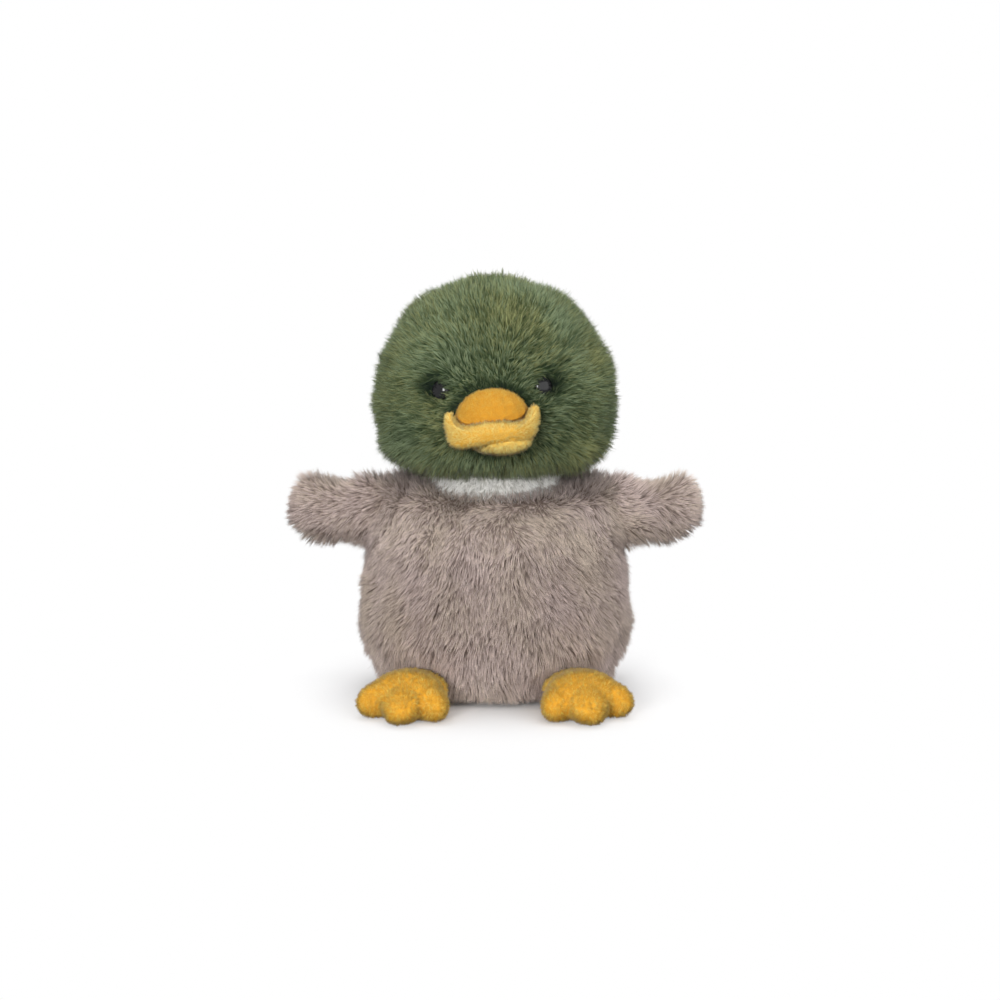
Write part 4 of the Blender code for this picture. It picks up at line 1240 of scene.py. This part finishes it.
class PLUSH_OT_feet(bpy.types.Operator):
    """Stuff the three-toed feet and cover them with short golden pile."""

    bl_idname = "plush.feet"
    bl_label = "Feet"

    def execute(self, context):
        sizes = context.scene.plush_foot
        felt = felt_material("foot_backing", sizes.root, sizes.dark_tip)
        pile = pile_material(
            "foot_pile", sizes.root, sizes.dark_tip, sizes.light_tip, (0.84, 0.50, 0.10),
            (0.3, 0.1, 0.01), 0.6, 0.1,
        )
        for side, name, seed in ((1, "foot_left", 51), (-1, "foot_right", 52)):
            turn = FOOT_SPLAY * side
            forward = np.array([math.sin(turn), -math.cos(turn)])
            heel = FOOT_HINGE * np.array([side, 1])
            instep = heel + forward * 11 * MM
            toe = instep + forward * 11 * MM
            skin = PIECES[name] = sew(
                name + "_skin", name, "foot_plush", felt, 0.75,
                [name + "_cover", name + "_sole", name + "_stuffing"], voxel=0.9 * MM,
                rounding=8, inset=0.7 * MM, shape=foot_shape(heel, forward),
                fillers=[((*instep, INSTEP_Z), INSTEP_HALF), ((*toe, TOE_Z), TOE_HALF)],
            )
            rng = np.random.default_rng(seed)
            strands = scattered(skin, 6.5, rng)
            tousle = rng.normal(0, 0.5, strands.roots.shape)
            nap = along_skin(np.array([0, -1.0, -0.5]) + tousle, strands.normals)
            grow(strands, nap, math.radians(30), sizes.pile_length, 0.34 * MM, rng, 0.3, 0.2)
            tufts = gather(strands, 0.14, 0.4, rng)
            keep_off_floor(strands, 0.35 * MM)
            patch = Waves(4 * MM, seed + 10).at(strands.roots) * 0.07
            shade(strands, tufts, (0.64, 0.26, 0.14), patch, 0.5, rng)
            piece = strand_piece(name + "_pile", strands, SHORT_NORMAL_MIX)
            dress(piece, name, "foot_plush", pile)
        return {"FINISHED"}


class PLUSH_OT_tail(bpy.types.Operator):
    """Stuff the tail and cover it with taupe pile."""

    bl_idname = "plush.tail"
    bl_label = "Tail"

    def execute(self, context):
        sizes = context.scene.plush_body
        pile, felt = body_cloths(sizes)
        skin = sew(
            "tail_skin", "body", "body_plush", felt, 0.7, ["tail_cover", "tail_stuffing"],
            voxel=1.4 * MM, rounding=4, inset=1.4 * MM,
        )
        rng = np.random.default_rng(61)
        strands = scattered(skin, 5.2, rng)
        strands.keep(strands.roots[:, 1] > 37 * MM)
        way = np.array([0, 0.8, 0.35]) + strands.roots * np.array([12.0, 0, 0])
        nap = along_skin(way, strands.normals)
        length = sizes.pile_length * 0.95
        grow(strands, nap, math.radians(52), length, STRAND_WIDTH, rng, 0.18, 0.15)
        tufts = gather(strands, 0.11, 0.48, rng)
        shade(strands, tufts, (0.60, 0.19, 0.15), 0, 0.45, rng)
        dress(strand_piece("tail_fur", strands), "body", "body_plush", pile)
        return {"FINISHED"}


def add_to_scene(name, data, place, aim):
    """A lamp or camera at its place, turned to what it aims at."""
    obj = bpy.data.objects.new(name, data)
    obj.location = place
    obj.rotation_euler = (aim - obj.location).to_track_quat("-Z", "Y").to_euler()
    bpy.context.scene.collection.objects.link(obj)
    return obj


class PLUSH_OT_stage(bpy.types.Operator):
    """Set the pale floor, soft lamps and the camera."""

    bl_idname = "plush.stage"
    bl_label = "Stage"

    def execute(self, context):
        sizes = context.scene.plush_stage
        scene = context.scene
        bpy.ops.object.select_all(action="DESELECT")
        bpy.ops.mesh.primitive_circle_add(vertices=96, radius=0.9, fill_type="NGON")
        floor = context.view_layer.objects.active
        floor.name = floor.data.name = "studio_floor"
        material, shader = new_material(
            "studio_floor", 1.0, Specular_IOR_Level=0.0, Emission_Strength=1.0
        )
        tree = material.node_tree
        place = tree.nodes.new("ShaderNodeTexCoord")
        reach = tree.nodes.new("ShaderNodeVectorMath")
        reach.operation = "LENGTH"
        tree.links.new(place.outputs["Object"], reach.inputs[0])
        far = ranged(tree, reach.outputs["Value"], *SHADOW_FADE)
        cloth = mix_colour(tree, far, (0.88, 0.88, 0.88, 1), BLACK)
        tree.links.new(cloth, shader.inputs["Base Color"])
        glow = mix_colour(tree, seen_directly(tree), BLACK, mix_colour(tree, far, BLACK, WHITE))
        tree.links.new(glow, shader.inputs["Emission Color"])
        floor.data.materials.append(material)
        floor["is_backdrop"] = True

        world = scene.world = bpy.data.worlds.new("studio")
        world.use_nodes = True
        tree = world.node_tree
        back = tree.nodes["Background"]
        sky = mix_colour(tree, seen_directly(tree), (0.68, 0.68, 0.69, 1), WHITE)
        tree.links.new(sky, back.inputs["Color"])
        back.inputs["Strength"].default_value = 1.0

        aim = Vector((sizes.aim_x, 0, sizes.aim_z))
        for name, place, size, power in LAMPS:
            data = bpy.data.lights.new(name, "AREA")
            data.size, data.energy = size, power
            add_to_scene(name, data, place, aim)

        data = bpy.data.cameras.new("photo_camera")
        data.sensor_width = SENSOR_WIDTH
        data.lens = sizes.focal_pixels / IMAGE_PIXELS * SENSOR_WIDTH
        data.clip_end = 10.0
        behind = Vector((0, -math.cos(sizes.elevation), math.sin(sizes.elevation)))
        place = aim + behind * sizes.distance
        scene.camera = add_to_scene("photo_camera", data, place, aim)
        scene.view_settings.view_transform = "Standard"
        return {"FINISHED"}


OPERATORS = (
    PLUSH_OT_bill, PLUSH_OT_eyes, PLUSH_OT_collar, PLUSH_OT_feet, PLUSH_OT_head,
    PLUSH_OT_body, PLUSH_OT_wings, PLUSH_OT_tail, PLUSH_OT_stage,
)


class PLUSH_PT_panel(bpy.types.Panel):
    """Lists the steps that make the duck."""

    bl_idname = "PLUSH_PT_panel"
    bl_label = "Plush duck"
    bl_space_type = "VIEW_3D"
    bl_region_type = "UI"
    bl_category = "Plush duck"

    def draw(self, context):
        for operator in OPERATORS:
            self.layout.operator(operator.bl_idname)
        for name, settings in SETTINGS.items():
            box = self.layout.box()
            box.label(text=settings.__doc__)
            for prop in settings.__annotations__:
                box.prop(getattr(context.scene, name), prop)


def register():
    for name, settings in SETTINGS.items():
        bpy.utils.register_class(settings)
        setattr(bpy.types.Scene, name, PointerProperty(type=settings))
    for operator in OPERATORS:
        bpy.utils.register_class(operator)
    bpy.utils.register_class(PLUSH_PT_panel)


def unregister():
    bpy.utils.unregister_class(PLUSH_PT_panel)
    for operator in reversed(OPERATORS):
        bpy.utils.unregister_class(operator)
    for name, settings in SETTINGS.items():
        delattr(bpy.types.Scene, name)
        bpy.utils.unregister_class(settings)


def main():
    """Makes every piece in order and works out the sizes of the two models."""
    register()
    bpy.ops.object.select_all(action="DESELECT")
    bpy.ops.plush.bill()
    bpy.ops.plush.eyes()
    bpy.ops.plush.collar()
    bpy.ops.plush.feet()
    bpy.ops.plush.head()
    bpy.ops.plush.body()
    bpy.ops.plush.wings()
    bpy.ops.plush.tail()
    bpy.ops.plush.stage()
    boxes = {"cad": CAD_BOUNDS, "visual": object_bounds()}
    {name: [list(map(float, corner)) for corner in box] for name, box in boxes.items()}


if __name__ == "__main__":
    main()
